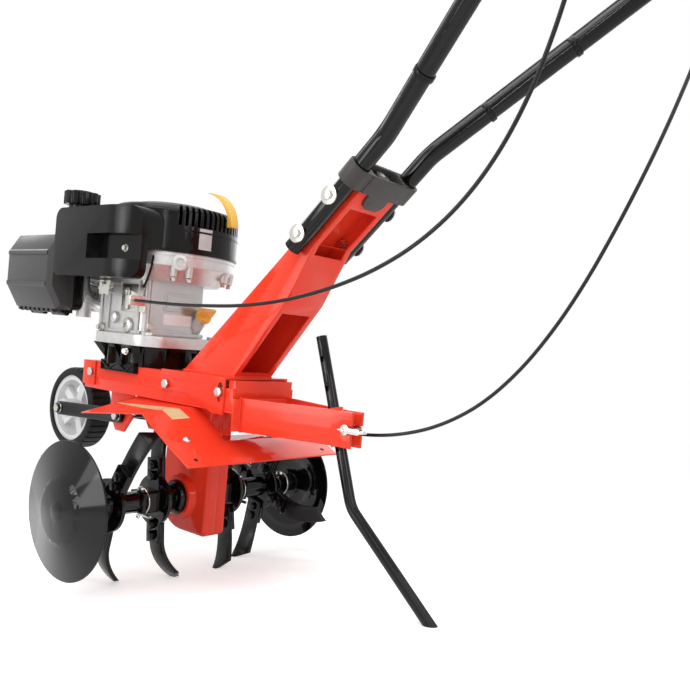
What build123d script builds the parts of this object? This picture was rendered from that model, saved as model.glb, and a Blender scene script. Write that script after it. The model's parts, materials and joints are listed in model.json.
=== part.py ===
from build123d import *
import os
from math import asin, cos, degrees, hypot, pi, radians, sin, sqrt, tan

os.makedirs("parts", exist_ok=True)

# Front-tine garden tiller. All places below are in the machine's own frame: the origin is the
# centre of the tine axle, +X runs back to the handle, +Y to the right-hand side, +Z up from the
# frame deck. The machine stands on its tine tips and its drag stake with the nose lifted.

# Stance
NOSE_UP = 6.0
AXLE_HEIGHT = 124.0

# Fits
FIT = 0.1
RUN = 0.05
GAP = 0.4
BOLT_DIA = 8.0
BOLT_HEX = 7.5
TUBE_BOLT_HEX = 9.8
BOLT_HEAD = 5.0
NUT_HIGH = 6.5

# Rotor
AXLE_DIA = 25.0
AXLE_HALF = 222.0
TINE_REACH = 130.0
TINE_WIDTH = 30.0
TINE_THICK = 6.0
TINE_ROOT = 26.0
TINE_STRAIGHT = 64.0
TINE_BEND = 34.0
TINE_SWEEP = 14.0
TINE_RAKE = 3.0
TINE_BEVEL = 16.0
TINE_BOLT_RADII = (38.0, 55.0)
HUB_TUBE_DIA = 34.0
HUB_ARM = 66.0
HUB_PLATE = 6.0
HUB_PLATE_RADIUS = 40.0
HUB_PIN_INSET = 8.0
INNER_HUB_START = 46.0
INNER_HUB_END = 108.0
INNER_PLATE = 72.0
OUTER_HUB_END = 214.0
OUTER_PLATE = 155.0
HUB_PIN_DIA = 7.0
PIN_PROUD = 5.0
CLIP_LENGTH = 34.0
CLIP_WIRE = 2.5
INNER_TINE_ANGLES = (-84.0, 96.0)
RIGHT_INNER_TINE_ANGLES = (-80.0, 100.0)
LEFT_OUTER_TINE_ANGLES = (60.0, 150.0, -103.0, -152.0)
RIGHT_OUTER_TINE_ANGLES = (67.0, 157.0, -100.0, -23.0)
DISC_RADIUS = 100.0
DISC_SHEET = 3.0
DISC_RIM = 225.0
DISC_BULGE = 13.0
DISC_SHOULDER = 7.8
DISC_BUTTON = 11.0
DISC_DISH = 52.0
DISC_CROWN = 42.0
DISC_BOSS = 16.0

# Gearcase and drive
CASE_HALF = 22.0
CASE_WALL = 3.0
CASE_RADIUS = 56.0
CASE_FRONT = -36.0
CASE_REAR = 52.0
CASE_TOE = (52.0, -46.0)
CASE_TOP_BLOCK = 16.0
CASE_ROUND = 10.0
BOSS_TAPER = 20.0
BOSS_RADIUS = 38.0
BOSS_REACH = 33.0
BUSH_RADIUS = 27.0
BUSH_START = 12.0
BUSH_REACH = 42.0
BUSH_CHAMFER = 4.0
WORM_WHEEL_RADIUS = 37.0
WORM_WHEEL_FACE = 18.0
WORM_WHEEL_TEETH = 32
WORM_X = 48.0
WORM_RADIUS = 10.0
WORM_LENGTH = 56.0
WORM_SHAFT_DIA = 16.0
WORM_FOOT = -46.0
DRIVEN_RADIUS = 50.0
DRIVE_RADIUS = 32.0
PULLEY_FACE = 16.0
GROOVE_DEPTH = 9.0
BELT_DEPTH = 7.0
BELT_WIDE = 9.0
BELT_LEVEL = 178.0
IDLER_X = -58.0
IDLER_RADIUS = 14.0
IDLER_PIVOT_X = -16.0
IDLER_EYE = 9.0
IDLER_ARM_THICK = 5.0
STUD_DIA = 8.0

# Frame
FRAME_FRONT = -238.0
FRAME_REAR = 147.0
FRAME_HALF = 63.0
SHEET = 3.0
DECK_TOP = 202.0
SEAM = 173.0
PAN_FLOOR = 154.0
DECK_END = -6.0
RAIL_LOW_TOP = 190.0
NOSE_DEPTH = 33.0
NOSE_DROP = 160.0
NOSE_BOLT_BACK = 23.0
CROSS_DEPTH = 14.0
CROSS_LOW = 176.0
RAIL_STEP = 10.0
CRANK_OPENING = 40.0

# Handle column and its saddle
TILT_X = -4.0
TILT_Z = 183.0
SLOT_X = 121.0
SADDLE_REAR = 130.0
SADDLE_NOSE = -20.0
SADDLE_LOW = 150.0
SADDLE_TOP = DECK_TOP + 3.5
COLUMN_HALF = 40.0
COLUMN_FOOT_FRONT = 2.0
COLUMN_FOOT_REAR = 118.0
COLUMN_SLOPE_FRONT = (198.0, 386.0)
COLUMN_SLOPE_REAR = (214.0, 323.0)
COLUMN_AHEAD = 13.0
COLUMN_BEHIND = 15.0
COLUMN_LIP = 10.0
LOWER_WINDOW = (8.0, 130.0)
UPPER_WINDOW = (78.0, 70.0)
SLOT_HALF = 14.5
SADDLE_SKIRT = 46.0
LOWER_BOLT = (250.0, 416.0)
UPPER_BOLT = (302.0, 466.0)
COLUMN_PAST_BOLT = 28.0
WASHER_DIA = 26.0
WASHER_THICK = 2.5

# Handle
TUBE_DIA = 25.0
TUBE_WALL = 2.0
TUBE_TAIL = 26.0
TUBE_RISE = 106.0
TUBE_BEND_RADIUS = 70.0
REACH_BACK = 348.0
REACH_OUT = 135.0
REACH_UP = 304.0
GRIP_RUN = 140.0
GRIP_DIA = 34.0
GRIP_LENGTH = 118.0
GRIP_END = 5.0
CAP_LENGTH = 29.0
CAP_SIDE = 5.0
TONGUE_LENGTH = 22.0
TONGUE_WIDTH = 44.0
TONGUE_THICK = 4.0
LEVER_THICK = 4.0
LEVER_LENGTH = 150.0
LEVER_KNEE = 40.0
LEVER_LIFT = 10.0
LEVER_WIDTH = 16.0
THUMB_LENGTH = 34.0
THUMB_DROP = 18.0
LUG_SETBACK = 20.0
LUG_DROP = 40.0
LUG_THICK = 5.0
LUG_RADIUS = 11.0
LEVER_PIN_DIA = 6.0
LEVER_PIN_REACH = 8.0
STOP_SIDE = 14.0

# Drawbar and drag stake
STAKE_DIA = 16.0
STAKE_TOP = (253.0, 278.0)
STAKE_BEND = (334.0, 46.0)
STAKE_FOOT = (479.0, -77.0)
STAKE_OVERRUN = 1.3
STAKE_BEND_RADIUS = 48.0
STAKE_HOLE_DIA = 8.0
STAKE_HOLE_PITCH = 43.0
STAKE_HOLES = 4
STAKE_HOLE_INSET = 34.0
DRAWBAR_LOW = 128.0
DRAWBAR_HIGH = 178.0
DRAWBAR_PLATE = 4.0
DRAWBAR_HALF = 50.0
DRAWBAR_KINK = 166.0
DRAWBAR_LIP_END = 332.0
LIP_SLOT_DEPTH = 16.0
LIP_SLOT_HIGH = 12.0
SOCKET_WALL = 5.0
HITCH_PIN_DIA = 6.0
HITCH_WASHER_DIA = 15.0

# Shield
SHIELD_HALF = 157.0
SHIELD_SHEET = 2.0
SHIELD_FRONT = -93.0
SHIELD_FRONT_OUTER_Z = 128.0
SHIELD_CREST = (61.0, 146.0)
SHIELD_KNEE = (124.0, 110.0)
SHIELD_TAIL = (172.0, 86.0)
SHIELD_INNER = 50.0
CASE_CLEAR = 80.0

# Engine
CRANK_X = -128.0
CRANK_DIA = 25.0
ADAPTER_RADIUS = 76.0
ADAPTER_WALL = 9.0
ADAPTER_RIBS = 14
RIB_THICK = 4.0
RIB_REACH = 8.0
ADAPTER_TOP = 237.0
FOOT_FRONT = -182.0
FOOT_REAR = -86.0
FOOT_DROP = 190.0
FOOT_THICK = 7.0
FOOT_RISE = 6.0
SUMP_LENGTH = 172.0
SUMP_WIDTH = 166.0
SUMP_HIGH = 18.0
SUMP_BOLTS = ((66.0, -66.0), (66.0, 66.0), (-66.0, 68.0))
BLOCK_FRONT = -204.0
BLOCK_REAR = -76.0
BLOCK_LEFT = -68.0
BLOCK_RIGHT = 60.0
BLOCK_TOP = 372.0
BLOCK_WALL = 7.0
SHROUD_THICK = 24.0
FLARE_LOW = 346.0
FLARE_TAPER = 42.0
HOUSING_X = -118.0
HOUSING_Y = 8.0
HOUSING_RADIUS = 112.0
HOUSING_WALL = 2.5
HOUSING_LOW = 393.0
HOUSING_TOP = 471.0
HOUSING_ROUND = 16.0
GRILLE_SLOTS = 15
GRILLE_SLOT = 5.0
GRILLE_START = -32.0
GRILLE_SPAN = 74.0
GRILLE_DEPTH = 13.0
GRILLE_HIGH = 34.0
FLYWHEEL_RADIUS = 88.0
FLYWHEEL_HIGH = 30.0
FLYWHEEL_LEVEL = 402.0
CYLINDER_HALF = 40.0
CYLINDER_LOW = 288.0
CYLINDER_HIGH = 366.0
CYLINDER_END = -296.0
HEAD_END = -330.0
FIN_PITCH = 9.0
FIN_GAP = 5.0
FIN_DEPTH = 9.0
PLUG_LENGTH = 34.0
PLUG_RADIUS = 9.0
BOOT_RADIUS = 12.0
PLUG_Z = 322.0
MUFFLER_FRONT = -326.0
MUFFLER_REAR = -208.0
MUFFLER_ROUND = 14.0
EXHAUST_RADIUS = 15.0
MUFFLER_LEFT = 64.0
MUFFLER_RIGHT = 132.0
MUFFLER_LOW = 292.0
MUFFLER_HIGH = 370.0
TANK_FRONT = -248.0
TANK_REAR = -36.0
TANK_FACE = -136.0
TANK_BACK = -40.0
TANK_LOW = 343.0
TANK_HIGH = 457.0
TANK_WALL = 3.0
TANK_ROUND = 18.0
TANK_TURN = -100.0
TANK_TURN_RADIUS = 102.5
POCKET_FRONT = -150.0
POCKET_LOW = 372.0
POCKET_HIGH = 412.0
POCKET_DEPTH = 24.0
UNDERCUT_FRONT = -122.0
UNDERCUT_Y = -100.0
NECK_X = -222.0
NECK_Y = -106.0
NECK_RADIUS = 21.0
NECK_HIGH = 18.0
FUEL_CAP_RADIUS = 29.5
FUEL_CAP_LIFT = 8.0
FUEL_CAP_HIGH = 22.0
FUEL_CAP_LOBES = 10
FUEL_CAP_NOTCH = 5.0
FILTER_FRONT = -411.0
FILTER_REAR = -262.0
FILTER_FACE = -134.0
FILTER_SPLIT = -84.0
FILTER_BACK = -66.0
FILTER_LOW = 286.0
FILTER_HIGH = 416.0
FILTER_FACET = 16.0
FILTER_WALL = 2.5
FILTER_TOP_SLANT = (18.0, 30.0)
FILTER_FOOT_SLANT = (22.0, 38.0)
FILTER_END_CHAMFER = 8.0
HINGE_RADIUS = 5.0
HINGE_PIN = 2.5
HINGE_LENGTH = 26.0
HINGE_LUG = 9.0
HINGE_SPOTS = (-36.0, 36.0)
CARB_FRONT = -296.0
CARB_REAR = -256.0
CARB_LOW = 302.0
CARB_HIGH = 346.0
BOWL_RADIUS = 17.0
BOWL_DROP = 26.0
HOSE_DIA = 9.0
HOSE_ROUTE = [
    (-222, -84, 342.9), (-222, -84, 328), (-230, -72, 319), (-242, -56, 318), (-255.9, -56, 318),
]
BRACKET_FRONT = -136.0
BRACKET_REAR = -71.0
BRACKET_LOW = 292.0
BRACKET_HIGH = 338.0
CLAMP_LENGTH = 12.0
CLAMP_HIGH = 16.0
CLAMP_REACH = 100.0
GOVERNOR_X = -118.0
GOVERNOR_Z = 326.0
GOVERNOR_STUD_DIA = 6.0
GOVERNOR_LENGTH = 28.0
DIPSTICK_X = -84.0
DIPSTICK_Y = 42.0
DIPSTICK_Z = 266.0
DIPSTICK_TILT = 42.0
DIPSTICK_TUBE = 11.0
DIPSTICK_RISE = 34.0
DIPSTICK_CAP = 14.0
DIPSTICK_WING = 36.0
RECOIL_Y = 40.0
RECOIL_DROP = 24.0
RECOIL_CLEAR = 6.0
RECOIL_TIP = (-56.0, 36.0)
RECOIL_OUTER_MID = (-6.0, 18.0)
RECOIL_INNER_MID = (-20.0, 20.0)
RECOIL_WIDTH = 14.0

# Transport wheel
WHEEL_X = -348.0
WHEEL_Z = 102.0
RIM_RADIUS = 62.0
RIM_WALL = 9.0
RIM_HALF = 18.0
HUB_RADIUS = 17.0
WHEEL_HUB_HALF = 36.0
SPOKE_HALF = 7.0
SPOKES = 5
TYRE_RADIUS = 77.0
TYRE_HALF = 22.0
TREAD_BLOCKS = 36
TREAD_DEPTH = 3.0
WHEEL_PIVOT_X = -162.0
WHEEL_PIVOT_Z = 111.0
ARM_INNER = 38.0
ARM_THICK = 6.0
ARM_WIDTH = 25.0
AXLE_PIN_DIA = 12.0
PIVOT_PIN_DIA = 10.0
CHEEK_FRONT = -194.0
CHEEK_REAR = -128.0
CHEEK_LOW = 84.0
CHEEK_THICK = 4.0

# Control cables
CABLE_DIA = 5.0
INNER_CABLE_SHARE = 0.8
ROUTE_ROUNDING = 0.45
THROTTLE_ROUTE = [
    (-70.6, -90, 310), (-10, -93, 308), (54, -95, 307), (118, -98, 308), (182, -102, 310),
    (246, -107, 316), (309, -111, 326), (371, -114, 341), (431, -116, 362), (488, -117, 392),
    (538, -118, 432), (578, -119, 481), (609, -121, 537), (633, -126, 596), (653, -134, 656),
    (676, -150, 706), (697, -169, 744), (706, -178, 778),
]
CLUTCH_ROUTE = [
    (151.5, 55, 160), (203, 51, 150), (262, 36, 144), (322, 28, 144), (383, 31, 153),
    (441, 38, 173), (495, 48, 208), (540, 60, 258), (576, 70, 314), (605, 80, 372),
    (629, 91, 432), (650, 103, 492), (668, 117, 552), (683, 131, 611), (695, 146, 669),
    (703, 162, 727), (706, 178, 778),
]


def standing_x(x, z):
    """The distance behind the axle, measured along the ground, of a point of the machine."""
    return x * cos(radians(NOSE_UP)) + z * sin(radians(NOSE_UP))


BOLT_SPACING = hypot(UPPER_BOLT[0] - LOWER_BOLT[0], UPPER_BOLT[1] - LOWER_BOLT[1])
RISE_X = (UPPER_BOLT[0] - LOWER_BOLT[0]) / BOLT_SPACING
RISE_Z = (UPPER_BOLT[1] - LOWER_BOLT[1]) / BOLT_SPACING
TUBE_BEND_X = UPPER_BOLT[0] + RISE_X * TUBE_RISE
TUBE_BEND_Z = UPPER_BOLT[1] + RISE_Z * TUBE_RISE
HANDLE_END_X = TUBE_BEND_X + REACH_BACK
HANDLE_END_Z = TUBE_BEND_Z + REACH_UP
NOSE_REACH = standing_x(WHEEL_X, WHEEL_Z) - TYRE_RADIUS
TAIL_REACH = standing_x(HANDLE_END_X, HANDLE_END_Z) + GRIP_RUN + GRIP_END
MACHINE = Plane(
    origin=(-(NOSE_REACH + TAIL_REACH) / 2, 0, AXLE_HEIGHT),
    x_dir=(cos(radians(NOSE_UP)), 0, -sin(radians(NOSE_UP))),
    z_dir=(sin(radians(NOSE_UP)), 0, cos(radians(NOSE_UP))),
)
GROUND = Plane.XY
MID = Plane.XZ
AXLE_LINE = Axis(MACHINE.origin, (0, 1, 0))


def place(x, y, z):
    """A point of the machine, where the machine stands."""
    return MACHINE.from_local_coords(Vector(x, y, z))


def level(x, y, z):
    """A plane parallel to the deck: its x runs back, its y to the right, its normal up."""
    return Plane(place(x, y, z), x_dir=MACHINE.x_dir, z_dir=MACHINE.z_dir)


def upright(x, y, z):
    """A plane seen from the left side: its x runs back, its y up, its normal to the left."""
    return Plane(place(x, y, z), x_dir=MACHINE.x_dir, z_dir=-MACHINE.y_dir)


def across(x, y, z):
    """A plane seen from behind: its x runs to the right, its y up, its normal back."""
    return Plane(place(x, y, z), x_dir=MACHINE.y_dir, z_dir=MACHINE.x_dir)


def turned(y, angle):
    """The upright plane at y, turned about the axle: its x runs out along the angle."""
    swing = radians(angle)
    outward = MACHINE.x_dir * cos(swing) + MACHINE.z_dir * sin(swing)
    return Plane(place(0, y, 0), x_dir=outward, z_dir=-MACHINE.y_dir)


RIGHT = MACHINE.y_dir


# Tines: flat bars with two root bolts, swept a little forward and bent to one side.
class Tine:
    """One tine of a hub: the face of the hub plate it lies on, its angle and its bend."""

    def __init__(self, plate, side, angle, inward):
        self.face = side * (plate if inward else plate + HUB_PLATE)
        self.bend = RIGHT * (-side if inward else side)
        self.bend_sign = -side if inward else side
        self.angle = angle
        self.plane = turned(self.face, angle)


def tine_set(plate, side, angles, inward):
    """The tines of one hub; inward is true or false for each of them."""
    return [Tine(plate, side, angle, lean) for angle, lean in zip(angles, inward)]


def tine_solid(tine):
    """A tine cut from a swept outline and a strip that bends sideways past its bolts."""
    sweep_reach = TINE_REACH - TINE_STRAIGHT
    bend_radius = (sweep_reach**2 + TINE_BEND**2) / (2 * TINE_BEND)
    bend_arc = degrees(asin(min(1, (sweep_reach + TINE_THICK) / bend_radius)))
    tip_low = (TINE_REACH * cos(radians(TINE_RAKE)), TINE_REACH * sin(radians(TINE_RAKE)))
    tip_high = (TINE_REACH - TINE_BEVEL, TINE_SWEEP + TINE_WIDTH / 2)
    strip_plane = Plane(tine.plane.origin, x_dir=tine.plane.x_dir, z_dir=tine.plane.y_dir)
    with BuildPart() as bar:
        with BuildSketch(tine.plane):
            with BuildLine():
                lower_edge = Line((TINE_ROOT, -TINE_WIDTH / 2), (TINE_STRAIGHT, -TINE_WIDTH / 2))
                TangentArc(lower_edge @ 1, tip_low, tangent=(1, 0))
                Line(tip_low, tip_high)
                upper_edge = Line((TINE_STRAIGHT, TINE_WIDTH / 2), (TINE_ROOT, TINE_WIDTH / 2))
                TangentArc(upper_edge @ 0, tip_high, tangent=(1, 0))
                Line(upper_edge @ 1, lower_edge @ 0)
            make_face()
        extrude(amount=TINE_BEND + 2 * TINE_THICK, both=True)
        with BuildSketch(strip_plane):
            with BuildLine():
                near_face = Line((0, 0), (TINE_STRAIGHT, 0))
                near_arc = JernArc(near_face @ 1, (1, 0), bend_radius, tine.bend_sign * bend_arc)
                far_face = Line(
                    (0, tine.bend_sign * TINE_THICK), (TINE_STRAIGHT, tine.bend_sign * TINE_THICK)
                )
                far_arc = JernArc(
                    far_face @ 1, (1, 0), bend_radius - TINE_THICK, tine.bend_sign * bend_arc
                )
                Line(near_arc @ 1, far_arc @ 1)
                Line(near_face @ 0, far_face @ 0)
            make_face()
        extrude(amount=2 * TINE_WIDTH, both=True, mode=Mode.INTERSECT)
        with BuildSketch(tine.plane):
            with Locations(*[(radius, 0) for radius in TINE_BOLT_RADII]):
                Circle(BOLT_DIA / 2 + FIT)
        extrude(amount=2 * TINE_THICK, both=True, mode=Mode.SUBTRACT)
        split(bisect_by=GROUND, keep=Keep.TOP)
    return bar.part


LEFT_INNER = tine_set(INNER_PLATE, -1, INNER_TINE_ANGLES, (True, True))
RIGHT_INNER = tine_set(INNER_PLATE, 1, RIGHT_INNER_TINE_ANGLES, (True, True))
LEFT_OUTER = tine_set(OUTER_PLATE, -1, LEFT_OUTER_TINE_ANGLES, (True, False, True, False))
RIGHT_OUTER = tine_set(OUTER_PLATE, 1, RIGHT_OUTER_TINE_ANGLES, (True, False, True, False))

for tine_name, tines in (
    ("inner_tines_left", LEFT_INNER),
    ("inner_tines_right", RIGHT_INNER),
    ("outer_tines_left", LEFT_OUTER),
    ("outer_tines_right", RIGHT_OUTER),
):
    bars = [tine_solid(tine) for tine in tines]
    with BuildPart() as tine_group:
        add(bars)
    tine_group.part.label = tine_name
    export_step(tine_group.part, f"parts/{tine_name}.step")

# Tine bolts: head on the tine, nut on the far side of the hub plate.
def tine_bolt_pair(tine):
    """The two root bolts of a tine."""
    spots = [(radius, 0) for radius in TINE_BOLT_RADII]
    head_plane = turned(tine.face + tine.bend_sign * TINE_THICK, tine.angle)
    nut_plane = turned(tine.face - tine.bend_sign * HUB_PLATE, tine.angle)
    with BuildPart() as pair:
        with BuildSketch(head_plane):
            with Locations(*spots):
                Circle(BOLT_DIA / 2)
        extrude(amount=TINE_THICK + HUB_PLATE, dir=-tine.bend)
        with BuildSketch(head_plane):
            with Locations(*spots):
                RegularPolygon(BOLT_HEX, 6)
        extrude(amount=BOLT_HEAD, dir=tine.bend)
        with BuildSketch(nut_plane):
            with Locations(*spots):
                RegularPolygon(BOLT_HEX, 6)
        extrude(amount=NUT_HIGH, dir=-tine.bend)
    return pair.part


bolt_pairs = [tine_bolt_pair(tine) for tine in LEFT_INNER + RIGHT_INNER + LEFT_OUTER + RIGHT_OUTER]
with BuildPart() as tine_bolts:
    add(bolt_pairs)
tine_bolts.part.label = "tine_bolts"
export_step(tine_bolts.part, "parts/tine_bolts.step")

# Tine axle and the worm wheel on its middle.
with BuildPart() as tine_axle:
    with BuildSketch(upright(0, 0, 0)):
        Circle(AXLE_DIA / 2)
    extrude(amount=AXLE_HALF, both=True)
    for pin_y in (INNER_HUB_END - HUB_PIN_INSET, OUTER_HUB_END - HUB_PIN_INSET):
        with BuildSketch(level(0, -pin_y, 0)):
            Circle(HUB_PIN_DIA / 2 + FIT)
        extrude(amount=AXLE_DIA, both=True, mode=Mode.SUBTRACT)
        with BuildSketch(level(0, pin_y, 0)):
            Circle(HUB_PIN_DIA / 2 + FIT)
        extrude(amount=AXLE_DIA, both=True, mode=Mode.SUBTRACT)
tine_axle.part.label = "tine_axle"
export_step(tine_axle.part, "parts/tine_axle.step")

with BuildPart() as worm_wheel:
    with BuildSketch(upright(0, 0, 0)):
        Circle(WORM_WHEEL_RADIUS)
        Circle(AXLE_DIA / 2 + FIT, mode=Mode.SUBTRACT)
        with PolarLocations(WORM_WHEEL_RADIUS, WORM_WHEEL_TEETH):
            Circle(WORM_WHEEL_RADIUS / WORM_WHEEL_TEETH, mode=Mode.SUBTRACT)
    extrude(amount=WORM_WHEEL_FACE / 2, both=True)
worm_wheel.part.label = "worm_wheel"
export_step(worm_wheel.part, "parts/worm_wheel.step")

# Hubs: a square tube beside the gearcase and a round one outside it, each with a plate whose
# arms carry the tines.
def hub_solid(side, start, end, plate, tines, square):
    """One hub; side is -1 on the left and 1 on the right."""
    outward = RIGHT * side
    with BuildPart() as hub:
        with BuildSketch(upright(0, side * start, 0)):
            if square:
                RectangleRounded(HUB_TUBE_DIA, HUB_TUBE_DIA, HUB_TUBE_DIA / 8)
            else:
                Circle(HUB_TUBE_DIA / 2)
        extrude(amount=end - start, dir=outward)
        with BuildSketch(upright(0, side * plate, 0)):
            Circle(HUB_PLATE_RADIUS)
        extrude(amount=HUB_PLATE, dir=outward)
        for tine in tines:
            with BuildSketch(turned(side * plate, tine.angle)):
                with Locations((HUB_ARM / 2, 0)):
                    Rectangle(HUB_ARM, TINE_WIDTH)
            extrude(amount=HUB_PLATE, dir=outward)
            with BuildSketch(tine.plane):
                with Locations(*[(radius, 0) for radius in TINE_BOLT_RADII]):
                    Circle(BOLT_DIA / 2 + FIT)
            extrude(amount=HUB_PLATE, dir=-tine.bend, mode=Mode.SUBTRACT)
        with BuildSketch(upright(0, side * start, 0)):
            Circle(AXLE_DIA / 2 + FIT)
        extrude(amount=end - start, dir=outward, mode=Mode.SUBTRACT)
        with BuildSketch(level(0, side * (end - HUB_PIN_INSET), 0)):
            Circle(HUB_PIN_DIA / 2 + FIT)
        extrude(amount=HUB_TUBE_DIA, both=True, mode=Mode.SUBTRACT)
    return hub.part


hub_pairs = (
    ("inner_hubs", INNER_HUB_START, INNER_HUB_END, INNER_PLATE, LEFT_INNER, RIGHT_INNER, True),
    ("outer_hubs", INNER_HUB_END, OUTER_HUB_END, OUTER_PLATE, LEFT_OUTER, RIGHT_OUTER, False),
)
for hub_name, start, end, plate, left_tines, right_tines, square in hub_pairs:
    left_hub = hub_solid(-1, start, end, plate, left_tines, square)
    right_hub = hub_solid(1, start, end, plate, right_tines, square)
    with BuildPart() as hub_pair:
        add([left_hub, right_hub])
    hub_pair.part.label = hub_name
    export_step(hub_pair.part, f"parts/{hub_name}.step")

# Hub pins: a headed pin through each hub and the axle, with a spring clip on its lower end.
with BuildPart() as hub_pins:
    pin_reach = HUB_TUBE_DIA / 2 + PIN_PROUD
    for pin_y in (INNER_HUB_END - HUB_PIN_INSET, OUTER_HUB_END - HUB_PIN_INSET):
        for side in (-1, 1):
            with BuildSketch(level(0, side * pin_y, 0)):
                Circle(HUB_PIN_DIA / 2)
            extrude(amount=pin_reach, both=True)
            with BuildSketch(level(0, side * pin_y, HUB_TUBE_DIA / 2 + FIT)):
                Circle(HUB_PIN_DIA)
            extrude(amount=PIN_PROUD)
            with BuildSketch(upright(0, side * pin_y, -HUB_TUBE_DIA / 2 - PIN_PROUD / 2)):
                with Locations((CLIP_LENGTH / 2 - HUB_PIN_DIA, 0)):
                    SlotOverall(CLIP_LENGTH, CLIP_WIRE * 2)
            extrude(amount=CLIP_WIRE / 2, both=True)
hub_pins.part.label = "hub_pins"
export_step(hub_pins.part, "parts/hub_pins.step")

# Side discs: dished sheets with a raised crown and a boss that seats on the axle end.
with BuildPart() as side_disc_left:
    disc_outer = DISC_RIM + DISC_SHEET
    with BuildSketch(level(0, 0, 0)):
        with BuildLine():
            Polyline(
                (0, -AXLE_HALF),
                (DISC_BOSS, -AXLE_HALF),
                (DISC_BOSS, -DISC_RIM - DISC_BULGE),
                (DISC_CROWN - DISC_SHEET, -DISC_RIM - DISC_BULGE),
                (DISC_DISH - DISC_SHEET, -DISC_RIM - DISC_SHOULDER),
                (DISC_RADIUS, -DISC_RIM),
                (DISC_RADIUS, -disc_outer),
                (DISC_DISH, -disc_outer - DISC_SHOULDER),
                (DISC_CROWN, -disc_outer - DISC_BULGE),
                (DISC_BOSS, -disc_outer - DISC_BULGE),
                (DISC_BUTTON, -disc_outer - DISC_BULGE - DISC_SHEET / 2),
                (0, -disc_outer - DISC_BULGE - DISC_SHEET / 2),
                close=True,
            )
        make_face()
    revolve(axis=AXLE_LINE)
side_disc_left.part.label = "side_disc_left"
export_step(side_disc_left.part, "parts/side_disc_left.step")

with BuildPart() as side_disc_right:
    mirror(side_disc_left.part, about=MID)
side_disc_right.part.label = "side_disc_right"
export_step(side_disc_right.part, "parts/side_disc_right.step")

# Gearcase: two pressed halves round the worm wheel, drawn down to a toe under the worm.
with BuildPart() as gearcase_left:
    case_top = PAN_FLOOR - CASE_ROUND
    with BuildSketch(upright(0, 0, 0)):
        Circle(CASE_RADIUS)
        with Locations(CASE_TOE, (CASE_FRONT, case_top), (CASE_REAR, case_top), (CASE_REAR, 0)):
            Circle(CASE_ROUND)
        make_hull()
    extrude(amount=CASE_HALF)
    fillet(gearcase_left.faces().sort_by(Axis.Y)[0].edges(), CASE_ROUND - CASE_WALL)
    inner_round = CASE_ROUND - CASE_WALL
    inner_top = case_top - CASE_TOP_BLOCK
    with BuildSketch(upright(0, 0, 0)):
        Circle(CASE_RADIUS - CASE_WALL)
        with Locations(CASE_TOE, (CASE_FRONT, inner_top), (CASE_REAR, inner_top), (CASE_REAR, 0)):
            Circle(inner_round)
        make_hull()
    extrude(amount=CASE_HALF - CASE_WALL, mode=Mode.SUBTRACT)
    with BuildSketch(upright(0, CASE_WALL - CASE_HALF, 0)):
        Circle(BOSS_RADIUS)
    extrude(amount=BOSS_REACH - CASE_HALF + CASE_WALL, taper=BOSS_TAPER)
    with BuildSketch(upright(0, 0, 0)):
        Circle(BUSH_RADIUS + FIT)
    extrude(amount=BOSS_REACH, mode=Mode.SUBTRACT)
    with BuildSketch(level(WORM_X, 0, PAN_FLOOR)):
        Circle(WORM_SHAFT_DIA / 2 + RUN)
    extrude(amount=-CASE_TOP_BLOCK - CASE_ROUND, mode=Mode.SUBTRACT)
gearcase_left.part.label = "gearcase_left"
export_step(gearcase_left.part, "parts/gearcase_left.step")

with BuildPart() as gearcase_right:
    mirror(gearcase_left.part, about=MID)
gearcase_right.part.label = "gearcase_right"
export_step(gearcase_right.part, "parts/gearcase_right.step")

# Axle bushes: one in each gearcase boss, proud of it as a dust collar.
with BuildPart() as axle_bushes:
    with BuildSketch(upright(0, -BUSH_START, 0)):
        Circle(BUSH_RADIUS)
        Circle(AXLE_DIA / 2 + RUN, mode=Mode.SUBTRACT)
    extrude(amount=BUSH_REACH - BUSH_START)
    chamfer(axle_bushes.faces().sort_by(Axis.Y)[0].outer_wire().edges(), BUSH_CHAMFER)
    mirror(about=MID)
axle_bushes.part.label = "axle_bushes"
export_step(axle_bushes.part, "parts/axle_bushes.step")

# Worm shaft: from the gearcase toe up into the belt pan.
with BuildPart() as worm_shaft:
    with BuildSketch(level(WORM_X, 0, WORM_FOOT)):
        Circle(WORM_SHAFT_DIA / 2)
    extrude(amount=BELT_LEVEL + PULLEY_FACE / 2 - WORM_FOOT)
    with BuildSketch(level(WORM_X, 0, 0)):
        Circle(WORM_RADIUS)
    extrude(amount=WORM_LENGTH / 2, both=True)
worm_shaft.part.label = "worm_shaft"
export_step(worm_shaft.part, "parts/worm_shaft.step")


# Pulleys and belt in the pan.
def pulley_solid(x, radius, bore):
    """A grooved pulley at the belt's height."""
    with BuildPart() as pulley:
        with BuildSketch(level(x, 0, BELT_LEVEL)):
            Circle(radius)
            Circle(bore, mode=Mode.SUBTRACT)
        extrude(amount=PULLEY_FACE / 2, both=True)
        with BuildSketch(level(x, 0, BELT_LEVEL)):
            Circle(radius)
            Circle(radius - GROOVE_DEPTH, mode=Mode.SUBTRACT)
        extrude(amount=BELT_WIDE / 2 + GAP, both=True, mode=Mode.SUBTRACT)
    return pulley.part


driven_disc = pulley_solid(WORM_X, DRIVEN_RADIUS, WORM_SHAFT_DIA / 2 + FIT)
with BuildPart() as driven_pulley:
    add(driven_disc)
driven_pulley.part.label = "driven_pulley"
export_step(driven_pulley.part, "parts/driven_pulley.step")

drive_disc = pulley_solid(CRANK_X, DRIVE_RADIUS, CRANK_DIA / 2 + FIT)
with BuildPart() as drive_pulley:
    add(drive_disc)
drive_pulley.part.label = "drive_pulley"
export_step(drive_pulley.part, "parts/drive_pulley.step")

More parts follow.
